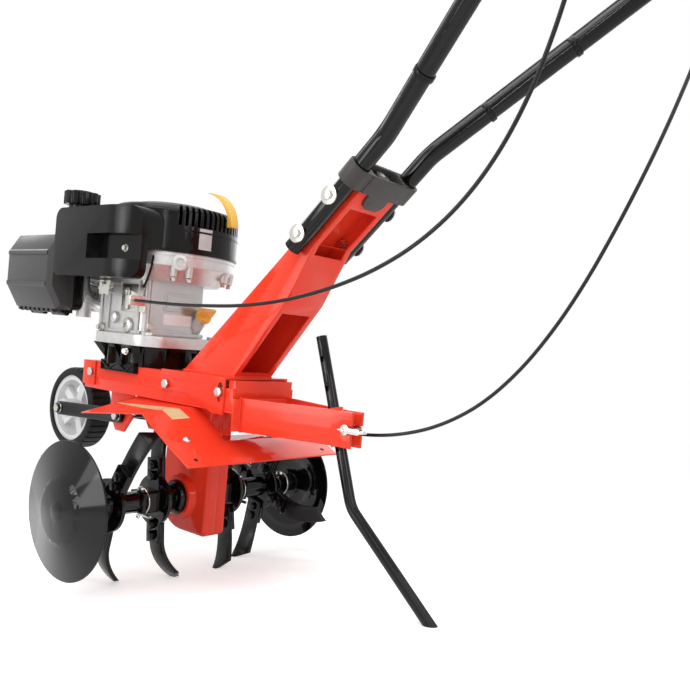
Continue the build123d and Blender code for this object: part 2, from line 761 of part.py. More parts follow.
belt_inner_drive = DRIVE_RADIUS - GROOVE_DEPTH + GAP
belt_inner_driven = DRIVEN_RADIUS - GROOVE_DEPTH + GAP
with BuildPart() as drive_belt:
    with BuildSketch(level(0, 0, BELT_LEVEL)):
        with Locations((CRANK_X, 0)):
            Circle(belt_inner_drive + BELT_DEPTH)
        with Locations((WORM_X, 0)):
            Circle(belt_inner_driven + BELT_DEPTH)
        make_hull()
    extrude(amount=BELT_WIDE / 2, both=True)
    with BuildSketch(level(0, 0, BELT_LEVEL)):
        with Locations((CRANK_X, 0)):
            Circle(belt_inner_drive)
        with Locations((WORM_X, 0)):
            Circle(belt_inner_driven)
        make_hull()
    extrude(amount=BELT_WIDE / 2, both=True, mode=Mode.SUBTRACT)
drive_belt.part.label = "drive_belt"
export_step(drive_belt.part, "parts/drive_belt.step")

# Belt tensioner: an arm on a stud of the pan with a roller inside the belt.
with BuildPart() as idler:
    with BuildSketch(level(0, 0, PAN_FLOOR + SHEET + GAP)):
        with Locations((IDLER_PIVOT_X, 0)):
            Circle(IDLER_EYE)
        with Locations((IDLER_X, 0)):
            Circle(IDLER_EYE)
        make_hull()
        with Locations((IDLER_PIVOT_X, 0)):
            Circle(STUD_DIA / 2 + RUN, mode=Mode.SUBTRACT)
    extrude(amount=IDLER_ARM_THICK)
    with BuildSketch(level(IDLER_X, 0, PAN_FLOOR + SHEET + GAP)):
        Circle(IDLER_RADIUS)
    extrude(amount=BELT_LEVEL + BELT_WIDE / 2 - PAN_FLOOR - SHEET - GAP)
idler.part.label = "idler"
export_step(idler.part, "parts/idler.step")

# Frame: a deck with side rails, stepped down under the saddle, a nose bracket and a rear bar.
with BuildPart() as frame_rails:
    rail_inner = FRAME_HALF - SHEET
    with BuildSketch(upright(0, -rail_inner, 0)):
        with BuildLine():
            Polyline(
                (FRAME_FRONT, SEAM),
                (FRAME_FRONT, DECK_TOP),
                (DECK_END, DECK_TOP),
                (DECK_END, RAIL_LOW_TOP),
                (FRAME_REAR, RAIL_LOW_TOP),
                (FRAME_REAR, PAN_FLOOR + SHEET),
                (RAIL_STEP, PAN_FLOOR + SHEET),
                (RAIL_STEP, SEAM),
                close=True,
            )
        make_face()
        with Locations((TILT_X, TILT_Z), (SLOT_X, TILT_Z)):
            Circle(BOLT_DIA / 2 + FIT, mode=Mode.SUBTRACT)
    extrude(amount=SHEET)
    with BuildSketch(upright(0, -FRAME_HALF, 0)):
        with Locations((FRAME_FRONT + NOSE_DEPTH / 2, (NOSE_DROP + DECK_TOP) / 2)):
            Rectangle(NOSE_DEPTH, DECK_TOP - NOSE_DROP)
    extrude(amount=SHEET)
    mirror(about=MID)
    with BuildSketch(level((FRAME_FRONT + DECK_END) / 2, 0, DECK_TOP)):
        Rectangle(DECK_END - FRAME_FRONT, 2 * rail_inner)
        with Locations((CRANK_X - (FRAME_FRONT + DECK_END) / 2, 0)):
            Circle(CRANK_OPENING, mode=Mode.SUBTRACT)
    extrude(amount=-SHEET)
    with BuildSketch(across(FRAME_REAR, 0, (CROSS_LOW + DECK_TOP) / 2)):
        Rectangle(2 * rail_inner, DECK_TOP - CROSS_LOW)
    extrude(amount=-CROSS_DEPTH)
    with BuildSketch(across(FRAME_FRONT, 0, (NOSE_DROP + DECK_TOP) / 2)):
        Rectangle(2 * (FRAME_HALF + SHEET), DECK_TOP - NOSE_DROP)
    extrude(amount=-SHEET)
frame_rails.part.label = "frame_rails"
export_step(frame_rails.part, "parts/frame_rails.step")

# Belt pan: closes the frame from below and carries the tensioner's stud.
with BuildPart() as belt_pan:
    pan_length = FRAME_REAR - FRAME_FRONT
    with BuildSketch(level((FRAME_REAR + FRAME_FRONT) / 2, 0, PAN_FLOOR)):
        Rectangle(pan_length, 2 * FRAME_HALF)
        with Locations((WORM_X - (FRAME_REAR + FRAME_FRONT) / 2, 0)):
            Circle(WORM_SHAFT_DIA / 2 + GAP, mode=Mode.SUBTRACT)
    extrude(amount=SHEET)
    with BuildSketch(upright(0, -rail_inner, 0)):
        with Locations(((FRAME_FRONT + RAIL_STEP) / 2, (PAN_FLOOR + SEAM) / 2)):
            Rectangle(RAIL_STEP - FRAME_FRONT, SEAM - PAN_FLOOR)
    extrude(amount=SHEET)
    mirror(about=MID)
    with BuildSketch(level(IDLER_PIVOT_X, 0, PAN_FLOOR)):
        Circle(STUD_DIA / 2)
    extrude(amount=BELT_LEVEL - PAN_FLOOR)
belt_pan.part.label = "belt_pan"
export_step(belt_pan.part, "parts/belt_pan.step")

# Column: a saddle that straddles the rails and a channel welded on it, open at the back in two
# windows with a closing plate between them.
column_top_x = UPPER_BOLT[0] + RISE_X * COLUMN_PAST_BOLT
column_top_z = UPPER_BOLT[1] + RISE_Z * COLUMN_PAST_BOLT
rear_kink = (LOWER_BOLT[0] + RISE_Z * COLUMN_BEHIND, LOWER_BOLT[1] - RISE_X * COLUMN_BEHIND)
rear_top = (column_top_x + RISE_Z * COLUMN_BEHIND, column_top_z - RISE_X * COLUMN_BEHIND)
front_top = (column_top_x - RISE_Z * COLUMN_AHEAD, column_top_z + RISE_X * COLUMN_AHEAD)


def rear_window(start, end, low, high):
    """The plane and length of a window in the column's rear edge, low to high along that edge."""
    edge = Vector(end[0] - start[0], 0, end[1] - start[1]).normalized()
    middle = (low + high) / 2
    outward = MACHINE.x_dir * edge.Z - MACHINE.z_dir * edge.X
    centre = place(start[0] + edge.X * middle, 0, start[1] + edge.Z * middle)
    return Plane(centre, x_dir=MACHINE.y_dir, z_dir=outward), high - low


kink_length = hypot(rear_kink[0] - COLUMN_SLOPE_REAR[0], rear_kink[1] - COLUMN_SLOPE_REAR[1])
foot_rear = (COLUMN_FOOT_REAR, SADDLE_TOP)
windows = (
    rear_window(foot_rear, COLUMN_SLOPE_REAR, *LOWER_WINDOW),
    rear_window(COLUMN_SLOPE_REAR, rear_kink, UPPER_WINDOW[0], kink_length),
    rear_window(rear_kink, rear_top, 0, UPPER_WINDOW[1]),
)
with BuildPart() as column:
    with BuildSketch(upright(0, -FRAME_HALF - GAP, 0)):
        with BuildLine():
            Polyline(
                (SADDLE_NOSE, SADDLE_TOP),
                (SADDLE_REAR, SADDLE_TOP),
                (SADDLE_REAR, SADDLE_LOW),
                (SLOT_X - SLOT_HALF, SADDLE_LOW),
                (SADDLE_SKIRT, SEAM),
                (SADDLE_NOSE, SEAM),
                close=True,
            )
        make_face()
        with Locations((TILT_X, TILT_Z)):
            Circle(BOLT_DIA / 2 + RUN, mode=Mode.SUBTRACT)
        with Locations((SLOT_X, TILT_Z)):
            SlotOverall(2 * SLOT_HALF, BOLT_DIA + 4 * GAP, rotation=90, mode=Mode.SUBTRACT)
    extrude(amount=SHEET)
    mirror(about=MID)
    with BuildSketch(level((COLUMN_FOOT_FRONT + SADDLE_REAR) / 2, 0, SADDLE_TOP)):
        Rectangle(SADDLE_REAR - COLUMN_FOOT_FRONT, 2 * (FRAME_HALF + GAP + SHEET))
    extrude(amount=-SHEET)
    with BuildSketch(upright(0, 0, 0)) as column_outline:
        with BuildLine():
            Polyline(
                (COLUMN_FOOT_FRONT, SADDLE_TOP),
                COLUMN_SLOPE_FRONT,
                front_top,
                rear_top,
                rear_kink,
                COLUMN_SLOPE_REAR,
                foot_rear,
                close=True,
            )
        make_face()
    extrude(amount=COLUMN_HALF, both=True)
    with BuildSketch(upright(0, 0, 0)):
        add(column_outline.sketch_local)
        offset(amount=-SHEET, kind=Kind.INTERSECTION, mode=Mode.REPLACE)
    extrude(amount=COLUMN_HALF - SHEET, both=True, mode=Mode.SUBTRACT)
    for window_plane, window_length in windows:
        with BuildSketch(window_plane):
            Rectangle(2 * (COLUMN_HALF - COLUMN_LIP), window_length)
        extrude(amount=2 * SHEET, both=True, mode=Mode.SUBTRACT)
    with BuildSketch(upright(0, 0, 0)):
        with Locations(LOWER_BOLT, UPPER_BOLT):
            Circle(BOLT_DIA / 2 + FIT)
    extrude(amount=COLUMN_HALF, both=True, mode=Mode.SUBTRACT)
column.part.label = "column"
export_step(column.part, "parts/column.step")

# Handle tubes: bolted to the outside of the column, bent outwards and then level at the grips.
TUBE_Y = COLUMN_HALF + TUBE_DIA / 2 + FIT
LUG_Y = TUBE_Y + REACH_OUT
LUG_X = HANDLE_END_X - LUG_SETBACK
LUG_Z = HANDLE_END_Z - LUG_SETBACK * REACH_UP / REACH_BACK - LUG_DROP


def tube_path(side):
    """The corners of a handle tube's middle line."""
    tail = place(LOWER_BOLT[0] - RISE_X * TUBE_TAIL, side * TUBE_Y, LOWER_BOLT[1] - RISE_Z * TUBE_TAIL)
    bend = place(TUBE_BEND_X, side * TUBE_Y, TUBE_BEND_Z)
    end = place(HANDLE_END_X, side * LUG_Y, HANDLE_END_Z)
    return [tail, bend, end, end + Vector(GRIP_RUN, 0, 0)]


def tube_solid(side):
    """A handle tube with its bolt holes and the lug of its control lever."""
    with BuildPart() as tube:
        with BuildSketch(upright(LUG_X, side * LUG_Y, LUG_Z)):
            Circle(LUG_RADIUS)
            with Locations((0, LUG_DROP)):
                Circle(LUG_RADIUS)
            make_hull()
        extrude(amount=LUG_THICK / 2, both=True)
        with BuildSketch(level(LUG_X, side * (LUG_Y - STOP_SIDE / 2), LUG_Z - STOP_SIDE / 2)):
            Rectangle(STOP_SIDE, STOP_SIDE + LUG_THICK)
        extrude(amount=STOP_SIDE)
        with BuildLine() as middle:
            FilletPolyline(*tube_path(side), radius=TUBE_BEND_RADIUS)
        with BuildSketch(Plane(middle.line @ 0, z_dir=middle.line % 0)):
            Circle(TUBE_DIA / 2)
        sweep(path=middle.line)
        with BuildSketch(Plane(middle.line @ 0, z_dir=middle.line % 0)):
            Circle(TUBE_DIA / 2 - TUBE_WALL)
        sweep(path=middle.line, mode=Mode.SUBTRACT)
        with BuildSketch(upright(0, side * TUBE_Y, 0)):
            with Locations(LOWER_BOLT, UPPER_BOLT):
                Circle(BOLT_DIA / 2 + FIT)
        extrude(amount=TUBE_DIA, both=True, mode=Mode.SUBTRACT)
        with BuildSketch(upright(LUG_X, side * LUG_Y, LUG_Z)):
            Circle(LEVER_PIN_DIA / 2 + RUN)
        extrude(amount=LEVER_PIN_REACH, both=True, mode=Mode.SUBTRACT)
    return tube.part


for tube_name, side in (("handle_tube_left", -1), ("handle_tube_right", 1)):
    bent_tube = tube_solid(side)
    with BuildPart() as handle_tube:
        add(bent_tube)
    handle_tube.part.label = tube_name
    export_step(handle_tube.part, f"parts/{tube_name}.step")

# Yoke cap: a moulded cap round both tubes on the column's top, with a tongue over its opening.
cap_plane = Plane(
    place(column_top_x, 0, column_top_z),
    x_dir=MACHINE.y_dir,
    z_dir=MACHINE.x_dir * RISE_X + MACHINE.z_dir * RISE_Z,
)
with BuildPart() as yoke_cap:
    cap_behind = COLUMN_BEHIND + FIT + TONGUE_THICK
    cap_round = TUBE_DIA / 2 + CAP_SIDE
    with BuildSketch(cap_plane):
        SlotCenterToCenter(2 * TUBE_Y, 2 * cap_round)
        Rectangle(2 * TUBE_Y - TUBE_DIA, cap_behind, align=(Align.CENTER, Align.MAX))
        with Locations((-TUBE_Y, 0), (TUBE_Y, 0)):
            Circle(TUBE_DIA / 2 + FIT, mode=Mode.SUBTRACT)
    extrude(amount=CAP_LENGTH)
    with BuildSketch(cap_plane):
        with Locations((0, -cap_behind + TONGUE_THICK / 2)):
            Rectangle(TONGUE_WIDTH, TONGUE_THICK)
    extrude(amount=-TONGUE_LENGTH)
    tongue_tip = yoke_cap.edges().filter_by(Axis(cap_plane.origin, cap_plane.y_dir))
    fillet(tongue_tip.sort_by(Axis(cap_plane.origin, cap_plane.z_dir))[:2], TONGUE_WIDTH / 3)
    with BuildSketch(cap_plane.offset(CAP_LENGTH)):
        with Locations((0, (cap_round - cap_behind) / 2)):
            RectangleRounded(
                2 * TUBE_Y - TUBE_DIA - 2 * CAP_SIDE, cap_round + cap_behind - 2 * CAP_SIDE, CAP_SIDE
            )
    extrude(amount=-CAP_LENGTH + CAP_SIDE, mode=Mode.SUBTRACT)
    with BuildSketch(cap_plane):
        RegularPolygon(WASHER_DIA / 2, 6)
    extrude(amount=CAP_LENGTH - CAP_SIDE)
yoke_cap.part.label = "yoke_cap"
export_step(yoke_cap.part, "parts/yoke_cap.step")

# Handle bolts: wide washer and head outside each tube, nut inside the column wall.
with BuildPart() as handle_bolts:
    washer_face = TUBE_Y + TUBE_DIA / 2 + FIT
    with BuildSketch(upright(0, -washer_face, 0)):
        with Locations(LOWER_BOLT, UPPER_BOLT):
            Circle(WASHER_DIA / 2)
    extrude(amount=WASHER_THICK)
    with BuildSketch(upright(0, -washer_face - WASHER_THICK, 0)):
        with Locations(LOWER_BOLT, UPPER_BOLT):
            RegularPolygon(BOLT_HEX, 6)
    extrude(amount=BOLT_HEAD)
    with BuildSketch(upright(0, -washer_face, 0)):
        with Locations(LOWER_BOLT, UPPER_BOLT):
            Circle(BOLT_DIA / 2)
    extrude(amount=-(washer_face - COLUMN_HALF + SHEET))
    with BuildSketch(upright(0, SHEET - COLUMN_HALF, 0)):
        with Locations(LOWER_BOLT, UPPER_BOLT):
            RegularPolygon(BOLT_HEX, 6)
    extrude(amount=-NUT_HIGH)
    mirror(about=MID)
handle_bolts.part.label = "handle_bolts"
export_step(handle_bolts.part, "parts/handle_bolts.step")

# Grips: soft sleeves on the level ends of the tubes.
with BuildPart() as grips:
    grip_end = tube_path(-1)[3] + Vector(GRIP_END, 0, 0)
    with BuildSketch(Plane(grip_end, x_dir=(0, 1, 0), z_dir=(-1, 0, 0))):
        Circle(GRIP_DIA / 2)
    extrude(amount=GRIP_LENGTH + GRIP_END)
    fillet(grips.edges().filter_by(GeomType.CIRCLE), GRIP_END / 2)
    with BuildSketch(Plane(tube_path(-1)[3], x_dir=(0, 1, 0), z_dir=(-1, 0, 0))):
        Circle(TUBE_DIA / 2 + FIT)
    extrude(amount=GRIP_LENGTH, mode=Mode.SUBTRACT)
    mirror(about=MID)
grips.part.label = "grips"
export_step(grips.part, "parts/grips.step")

# Control levers: the clutch lever under the right grip, the throttle lever on the left tube.
with BuildPart() as clutch_lever:
    lever_y = LUG_Y + LUG_THICK / 2 + GAP
    lever_plane = Plane(
        place(LUG_X, lever_y + LEVER_THICK, LUG_Z), x_dir=(1, 0, 0), z_dir=(0, -1, 0)
    )
    with BuildSketch(lever_plane):
        Circle(LUG_RADIUS)
        with Locations((LEVER_KNEE, 0)):
            Circle(LEVER_WIDTH / 2)
        make_hull()
    extrude(amount=LEVER_THICK)
    with BuildSketch(lever_plane):
        with Locations((LEVER_KNEE, 0), (LEVER_LENGTH, LEVER_LIFT)):
            Circle(LEVER_WIDTH / 2)
        make_hull()
    extrude(amount=LEVER_THICK)
    with BuildSketch(upright(LUG_X, lever_y + LEVER_THICK, LUG_Z)):
        Circle(LEVER_PIN_DIA / 2)
    extrude(amount=LEVER_THICK + GAP + LUG_THICK)
clutch_lever.part.label = "clutch_lever"
export_step(clutch_lever.part, "parts/clutch_lever.step")

with BuildPart() as throttle_lever:
    with BuildSketch(upright(LUG_X, -LUG_Y - LUG_THICK / 2 - GAP, LUG_Z)):
        Circle(LUG_RADIUS)
        with Locations((-THUMB_LENGTH, -THUMB_DROP)):
            Circle(LEVER_WIDTH / 2)
        make_hull()
    extrude(amount=LEVER_THICK)
    with BuildSketch(upright(LUG_X, -LUG_Y - LUG_THICK / 2 - GAP - LEVER_THICK, LUG_Z)):
        Circle(LEVER_PIN_DIA / 2)
    extrude(amount=-(LEVER_THICK + GAP + LUG_THICK))
throttle_lever.part.label = "throttle_lever"
export_step(throttle_lever.part, "parts/throttle_lever.step")

# Drag stake: a bent rod with cross holes, cut off where it meets the ground.
stake_rise = Vector(STAKE_TOP[0] - STAKE_BEND[0], 0, STAKE_TOP[1] - STAKE_BEND[1]).normalized()
STAKE_UP = MACHINE.x_dir * stake_rise.X + MACHINE.z_dir * stake_rise.Z
stake_overrun = Vector(STAKE_FOOT[0] - STAKE_BEND[0], 0, STAKE_FOOT[1] - STAKE_BEND[1]) * STAKE_OVERRUN
with BuildPart() as stake:
    with BuildLine() as stake_line:
        FilletPolyline(
            place(STAKE_TOP[0], 0, STAKE_TOP[1]),
            place(STAKE_BEND[0], 0, STAKE_BEND[1]),
            place(STAKE_BEND[0] + stake_overrun.X, 0, STAKE_BEND[1] + stake_overrun.Z),
            radius=STAKE_BEND_RADIUS,
        )
    with BuildSketch(Plane(stake_line.line @ 0, z_dir=stake_line.line % 0)):
        Circle(STAKE_DIA / 2)
    sweep()
    hole_spots = [
        Vector(STAKE_TOP[0], STAKE_TOP[1])
        - Vector(stake_rise.X, stake_rise.Z) * (STAKE_HOLE_INSET + STAKE_HOLE_PITCH * step)
        for step in range(STAKE_HOLES)
    ]
    with BuildSketch(upright(0, 0, 0)):
        with Locations(*hole_spots):
            Circle(STAKE_HOLE_DIA / 2)
    extrude(amount=STAKE_DIA, both=True, mode=Mode.SUBTRACT)
    split(bisect_by=GROUND, keep=Keep.TOP)
stake.part.label = "stake"
export_step(stake.part, "parts/stake.step")

# Drawbar: two plates that close in on the stake's socket and end in slotted lips.
socket_foot_x = STAKE_BEND[0] + (DRAWBAR_LOW - STAKE_BEND[1]) * stake_rise.X / stake_rise.Z
socket_outer = STAKE_DIA / 2 + GAP + SOCKET_WALL
with BuildPart() as drawbar:
    plate_in = socket_outer - DRAWBAR_PLATE
    with BuildSketch(level(0, 0, DRAWBAR_LOW)):
        with BuildLine():
            Polyline(
                (FRAME_REAR, -DRAWBAR_HALF),
                (DRAWBAR_KINK, -DRAWBAR_HALF),
                (socket_foot_x - socket_outer, -socket_outer),
                (DRAWBAR_LIP_END, -socket_outer),
                (DRAWBAR_LIP_END, -plate_in),
                (socket_foot_x - socket_outer, -plate_in),
                (DRAWBAR_KINK, DRAWBAR_PLATE - DRAWBAR_HALF),
                (FRAME_REAR, DRAWBAR_PLATE - DRAWBAR_HALF),
                close=True,
            )
        make_face()
    extrude(amount=DRAWBAR_HIGH - DRAWBAR_LOW)
    with BuildSketch(upright(DRAWBAR_LIP_END, 0, (DRAWBAR_LOW + DRAWBAR_HIGH) / 2)):
        Rectangle(2 * LIP_SLOT_DEPTH, LIP_SLOT_HIGH)
    extrude(amount=DRAWBAR_HALF, mode=Mode.SUBTRACT)
    mirror(about=MID)
    with BuildSketch(across(FRAME_REAR, 0, (DRAWBAR_LOW + CROSS_LOW) / 2)):
        Rectangle(2 * FRAME_HALF, CROSS_LOW - DRAWBAR_LOW)
    extrude(amount=DRAWBAR_PLATE)
    socket_plane = Plane(
        place(socket_foot_x, 0, DRAWBAR_LOW), x_dir=MACHINE.y_dir, z_dir=STAKE_UP
    )
    with BuildSketch(socket_plane):
        Circle(socket_outer)
    extrude(amount=(DRAWBAR_HIGH - DRAWBAR_LOW) / stake_rise.Z)
    with BuildSketch(socket_plane):
        Circle(STAKE_DIA / 2 + GAP)
    extrude(amount=DRAWBAR_HIGH, both=True, mode=Mode.SUBTRACT)
drawbar.part.label = "drawbar"
export_step(drawbar.part, "parts/drawbar.step")

# Tine shield: wings that fall away from the frame and a rear slope across the machine.
def shield_section(y, front_z, crest_z):
    """The shield's outline in a plane across it: the top line and its underside."""
    top = [(SHIELD_FRONT, front_z), (SHIELD_CREST[0], crest_z), SHIELD_KNEE, SHIELD_TAIL]
    under = [(x, z - SHIELD_SHEET) for x, z in reversed(top)]
    with BuildSketch(upright(0, y, 0)) as section:
        with BuildLine():
            Polyline(*top, *under, close=True)
        make_face()
    return section.sketch


wing_inner = shield_section(-SHIELD_INNER, PAN_FLOOR, PAN_FLOOR)
wing_outer = shield_section(-SHIELD_HALF, SHIELD_FRONT_OUTER_Z, SHIELD_CREST[1])
with BuildPart() as tine_shield:
    add([wing_inner, wing_outer])
    loft(ruled=True)
    with BuildSketch(upright(0, -SHIELD_INNER, 0)):
        with BuildLine():
            Polyline(
                (CASE_CLEAR, SHIELD_KNEE[1]),
                SHIELD_KNEE,
                SHIELD_TAIL,
                (SHIELD_TAIL[0], SHIELD_TAIL[1] - SHIELD_SHEET),
                (SHIELD_KNEE[0], SHIELD_KNEE[1] - SHIELD_SHEET),
                (CASE_CLEAR, SHIELD_KNEE[1] - SHIELD_SHEET),
                close=True,
            )
        make_face()
    extrude(amount=-SHIELD_INNER)
    mirror(about=MID)
tine_shield.part.label = "tine_shield"
export_step(tine_shield.part, "parts/tine_shield.step")

# Engine adapter: a ribbed drum between the deck and the engine, with feet over the rails.
with BuildPart() as engine_adapter:
    with BuildSketch(level(CRANK_X, 0, DECK_TOP)):
        Circle(ADAPTER_RADIUS)
        with PolarLocations(ADAPTER_RADIUS, ADAPTER_RIBS):
            Rectangle(2 * RIB_REACH, RIB_THICK)
        Circle(ADAPTER_RADIUS - ADAPTER_WALL, mode=Mode.SUBTRACT)
    extrude(amount=ADAPTER_TOP - DECK_TOP)
    with BuildSketch(level(CRANK_X, 0, ADAPTER_TOP)):
        Circle(ADAPTER_RADIUS + RIB_REACH)
        Circle(CRANK_OPENING, mode=Mode.SUBTRACT)
    extrude(amount=-FOOT_RISE)
    with BuildSketch(upright(0, -FRAME_HALF, 0)):
        with Locations(((FOOT_FRONT + FOOT_REAR) / 2, (FOOT_DROP + DECK_TOP + FOOT_RISE) / 2)):
            Rectangle(FOOT_REAR - FOOT_FRONT, DECK_TOP + FOOT_RISE - FOOT_DROP)
    extrude(amount=FOOT_THICK)
    with BuildSketch(level((FOOT_FRONT + FOOT_REAR) / 2, -FRAME_HALF, DECK_TOP)):
        Rectangle(FOOT_REAR - FOOT_FRONT, 2 * FOOT_THICK)
    extrude(amount=FOOT_RISE)
    with BuildSketch(upright(0, FRAME_HALF + FOOT_THICK, 0)):
        with Locations(((FOOT_FRONT + FOOT_REAR) / 2, (FOOT_DROP + DECK_TOP + FOOT_RISE) / 2)):
            Rectangle(FOOT_REAR - FOOT_FRONT, DECK_TOP + FOOT_RISE - FOOT_DROP)
    extrude(amount=FOOT_THICK)
    with BuildSketch(level((FOOT_FRONT + FOOT_REAR) / 2, FRAME_HALF, DECK_TOP)):
        Rectangle(FOOT_REAR - FOOT_FRONT, 2 * FOOT_THICK)
    extrude(amount=FOOT_RISE)
engine_adapter.part.label = "engine_adapter"
export_step(engine_adapter.part, "parts/engine_adapter.step")

# Crankcase: sump flange, block and the round seat of the blower housing, hollow inside.
block_x = (BLOCK_FRONT + BLOCK_REAR) / 2
block_y = (BLOCK_LEFT + BLOCK_RIGHT) / 2
block_length = BLOCK_REAR - BLOCK_FRONT
block_width = BLOCK_RIGHT - BLOCK_LEFT
tube_tilt = radians(DIPSTICK_TILT)
dipstick_lean = MACHINE.x_dir * sin(tube_tilt) + MACHINE.z_dir * cos(tube_tilt)
DIPSTICK_PLANE = Plane(
    place(DIPSTICK_X, DIPSTICK_Y, DIPSTICK_Z), x_dir=MACHINE.y_dir, z_dir=dipstick_lean
)
with BuildPart() as crankcase:
    with BuildSketch(level(CRANK_X, 0, ADAPTER_TOP)):
        RectangleRounded(SUMP_LENGTH, SUMP_WIDTH, SUMP_WIDTH / 4)
    extrude(amount=SUMP_HIGH)
    with BuildSketch(level(block_x, block_y, ADAPTER_TOP)):
        RectangleRounded(block_length, block_width, 2 * BLOCK_WALL)
    extrude(amount=BLOCK_TOP - ADAPTER_TOP)
    shroud_radius = HOUSING_RADIUS - HOUSING_WALL - FIT
    with BuildSketch(level(HOUSING_X, HOUSING_Y, BLOCK_TOP)):
        Circle(shroud_radius)
    extrude(amount=FLARE_LOW - BLOCK_TOP, taper=FLARE_TAPER)
    with BuildSketch(level(BLOCK_FRONT, 0, FLARE_LOW)):
        Rectangle(shroud_radius, 3 * shroud_radius, align=(Align.MAX, Align.CENTER))
    extrude(amount=BLOCK_TOP - FLARE_LOW, mode=Mode.SUBTRACT)
    with BuildSketch(level(HOUSING_X, HOUSING_Y, BLOCK_TOP)):
        Circle(shroud_radius)
    extrude(amount=SHROUD_THICK)
    with BuildSketch(DIPSTICK_PLANE):
        Circle(DIPSTICK_TUBE)
    extrude(amount=DIPSTICK_RISE)
    with BuildSketch(level(block_x, block_y, ADAPTER_TOP + BLOCK_WALL)):
        RectangleRounded(block_length - 2 * BLOCK_WALL, block_width - 2 * BLOCK_WALL, BLOCK_WALL)
    extrude(amount=BLOCK_TOP - ADAPTER_TOP - 2 * BLOCK_WALL, mode=Mode.SUBTRACT)
    with BuildSketch(level(CRANK_X, 0, ADAPTER_TOP)):
        Circle(CRANK_DIA / 2 + RUN)
    extrude(amount=BLOCK_TOP + SHROUD_THICK - ADAPTER_TOP, mode=Mode.SUBTRACT)
    with BuildSketch(level(CRANK_X, 0, ADAPTER_TOP)):
        with Locations(*SUMP_BOLTS):
            Circle(BOLT_DIA / 2 + FIT)
    extrude(amount=SUMP_HIGH, mode=Mode.SUBTRACT)
crankcase.part.label = "crankcase"
export_step(crankcase.part, "parts/crankcase.step")

with BuildPart() as engine_bolts:
    with BuildSketch(level(CRANK_X, 0, ADAPTER_TOP)):
        with Locations(*SUMP_BOLTS):
            Circle(BOLT_DIA / 2)
    extrude(amount=SUMP_HIGH)
    with BuildSketch(level(CRANK_X, 0, ADAPTER_TOP + SUMP_HIGH)):
        with Locations(*SUMP_BOLTS):
            RegularPolygon(BOLT_HEX, 6)
    extrude(amount=BOLT_HEAD)
engine_bolts.part.label = "engine_bolts"
export_step(engine_bolts.part, "parts/engine_bolts.step")

# Dipstick: a winged cap on the filler tube.
with BuildPart() as dipstick:
    with BuildSketch(DIPSTICK_PLANE.offset(DIPSTICK_RISE + GAP)):
        Circle(DIPSTICK_CAP)
    extrude(amount=DIPSTICK_CAP / 2)
    with BuildSketch(DIPSTICK_PLANE.offset(DIPSTICK_RISE + GAP + DIPSTICK_CAP / 2)):
        SlotOverall(DIPSTICK_WING, DIPSTICK_CAP / 2)
    extrude(amount=DIPSTICK_CAP)
dipstick.part.label = "dipstick"
export_step(dipstick.part, "parts/dipstick.step")

# Crankshaft and flywheel.
with BuildPart() as crankshaft:
    shaft_foot = BELT_LEVEL - PULLEY_FACE / 2
    with BuildSketch(level(CRANK_X, 0, shaft_foot)):
        Circle(CRANK_DIA / 2)
    extrude(amount=FLYWHEEL_LEVEL + FLYWHEEL_HIGH - shaft_foot)
crankshaft.part.label = "crankshaft"
export_step(crankshaft.part, "parts/crankshaft.step")

with BuildPart() as flywheel:
    with BuildSketch(level(CRANK_X, 0, FLYWHEEL_LEVEL)):
        Circle(FLYWHEEL_RADIUS)
        Circle(CRANK_DIA / 2 + FIT, mode=Mode.SUBTRACT)
    extrude(amount=FLYWHEEL_HIGH / 3)
    with BuildSketch(level(CRANK_X, 0, FLYWHEEL_LEVEL)):
        with PolarLocations(FLYWHEEL_RADIUS - RIB_REACH, ADAPTER_RIBS):
            Rectangle(2 * RIB_REACH, RIB_THICK)
        Circle(CRANK_DIA)
        Circle(CRANK_DIA / 2 + FIT, mode=Mode.SUBTRACT)
    extrude(amount=FLYWHEEL_HIGH)
flywheel.part.label = "flywheel"
export_step(flywheel.part, "parts/flywheel.step")

# Cylinder: a finned barrel towards the front with its head.
with BuildPart() as cylinder:
    cylinder_z = (CYLINDER_LOW + CYLINDER_HIGH) / 2
    cylinder_high = CYLINDER_HIGH - CYLINDER_LOW
    with BuildSketch(across(BLOCK_FRONT, 0, cylinder_z)):
        RectangleRounded(2 * CYLINDER_HALF, cylinder_high, 2 * FIN_DEPTH)
    extrude(amount=HEAD_END - BLOCK_FRONT)
    fin_count = int((BLOCK_FRONT - CYLINDER_END) / FIN_PITCH)
    for fin in range(fin_count):
        with BuildSketch(across(BLOCK_FRONT - FIN_PITCH * (2 * fin + 1) / 2, 0, cylinder_z)):
            RectangleRounded(2 * CYLINDER_HALF, cylinder_high, 2 * FIN_DEPTH)
            RectangleRounded(
                2 * (CYLINDER_HALF - FIN_DEPTH),
                cylinder_high - 2 * FIN_DEPTH,
                FIN_DEPTH,
                mode=Mode.SUBTRACT,
            )
        extrude(amount=-FIN_GAP, mode=Mode.SUBTRACT)
    with BuildSketch(across(BLOCK_FRONT, 0, cylinder_z)):
        Circle(CYLINDER_HALF - 2 * FIN_DEPTH)
    extrude(amount=CYLINDER_END - BLOCK_FRONT, mode=Mode.SUBTRACT)
cylinder.part.label = "cylinder"
export_step(cylinder.part, "parts/cylinder.step")

with BuildPart() as spark_plug:
    with BuildSketch(across(HEAD_END, 0, PLUG_Z)):
        Circle(PLUG_RADIUS)
    extrude(amount=-PLUG_LENGTH)
    with BuildSketch(across(HEAD_END - PLUG_LENGTH / 2, 0, PLUG_Z)):
        Circle(BOOT_RADIUS)
    extrude(amount=-PLUG_LENGTH / 2)
spark_plug.part.label = "spark_plug"
export_step(spark_plug.part, "parts/spark_plug.step")

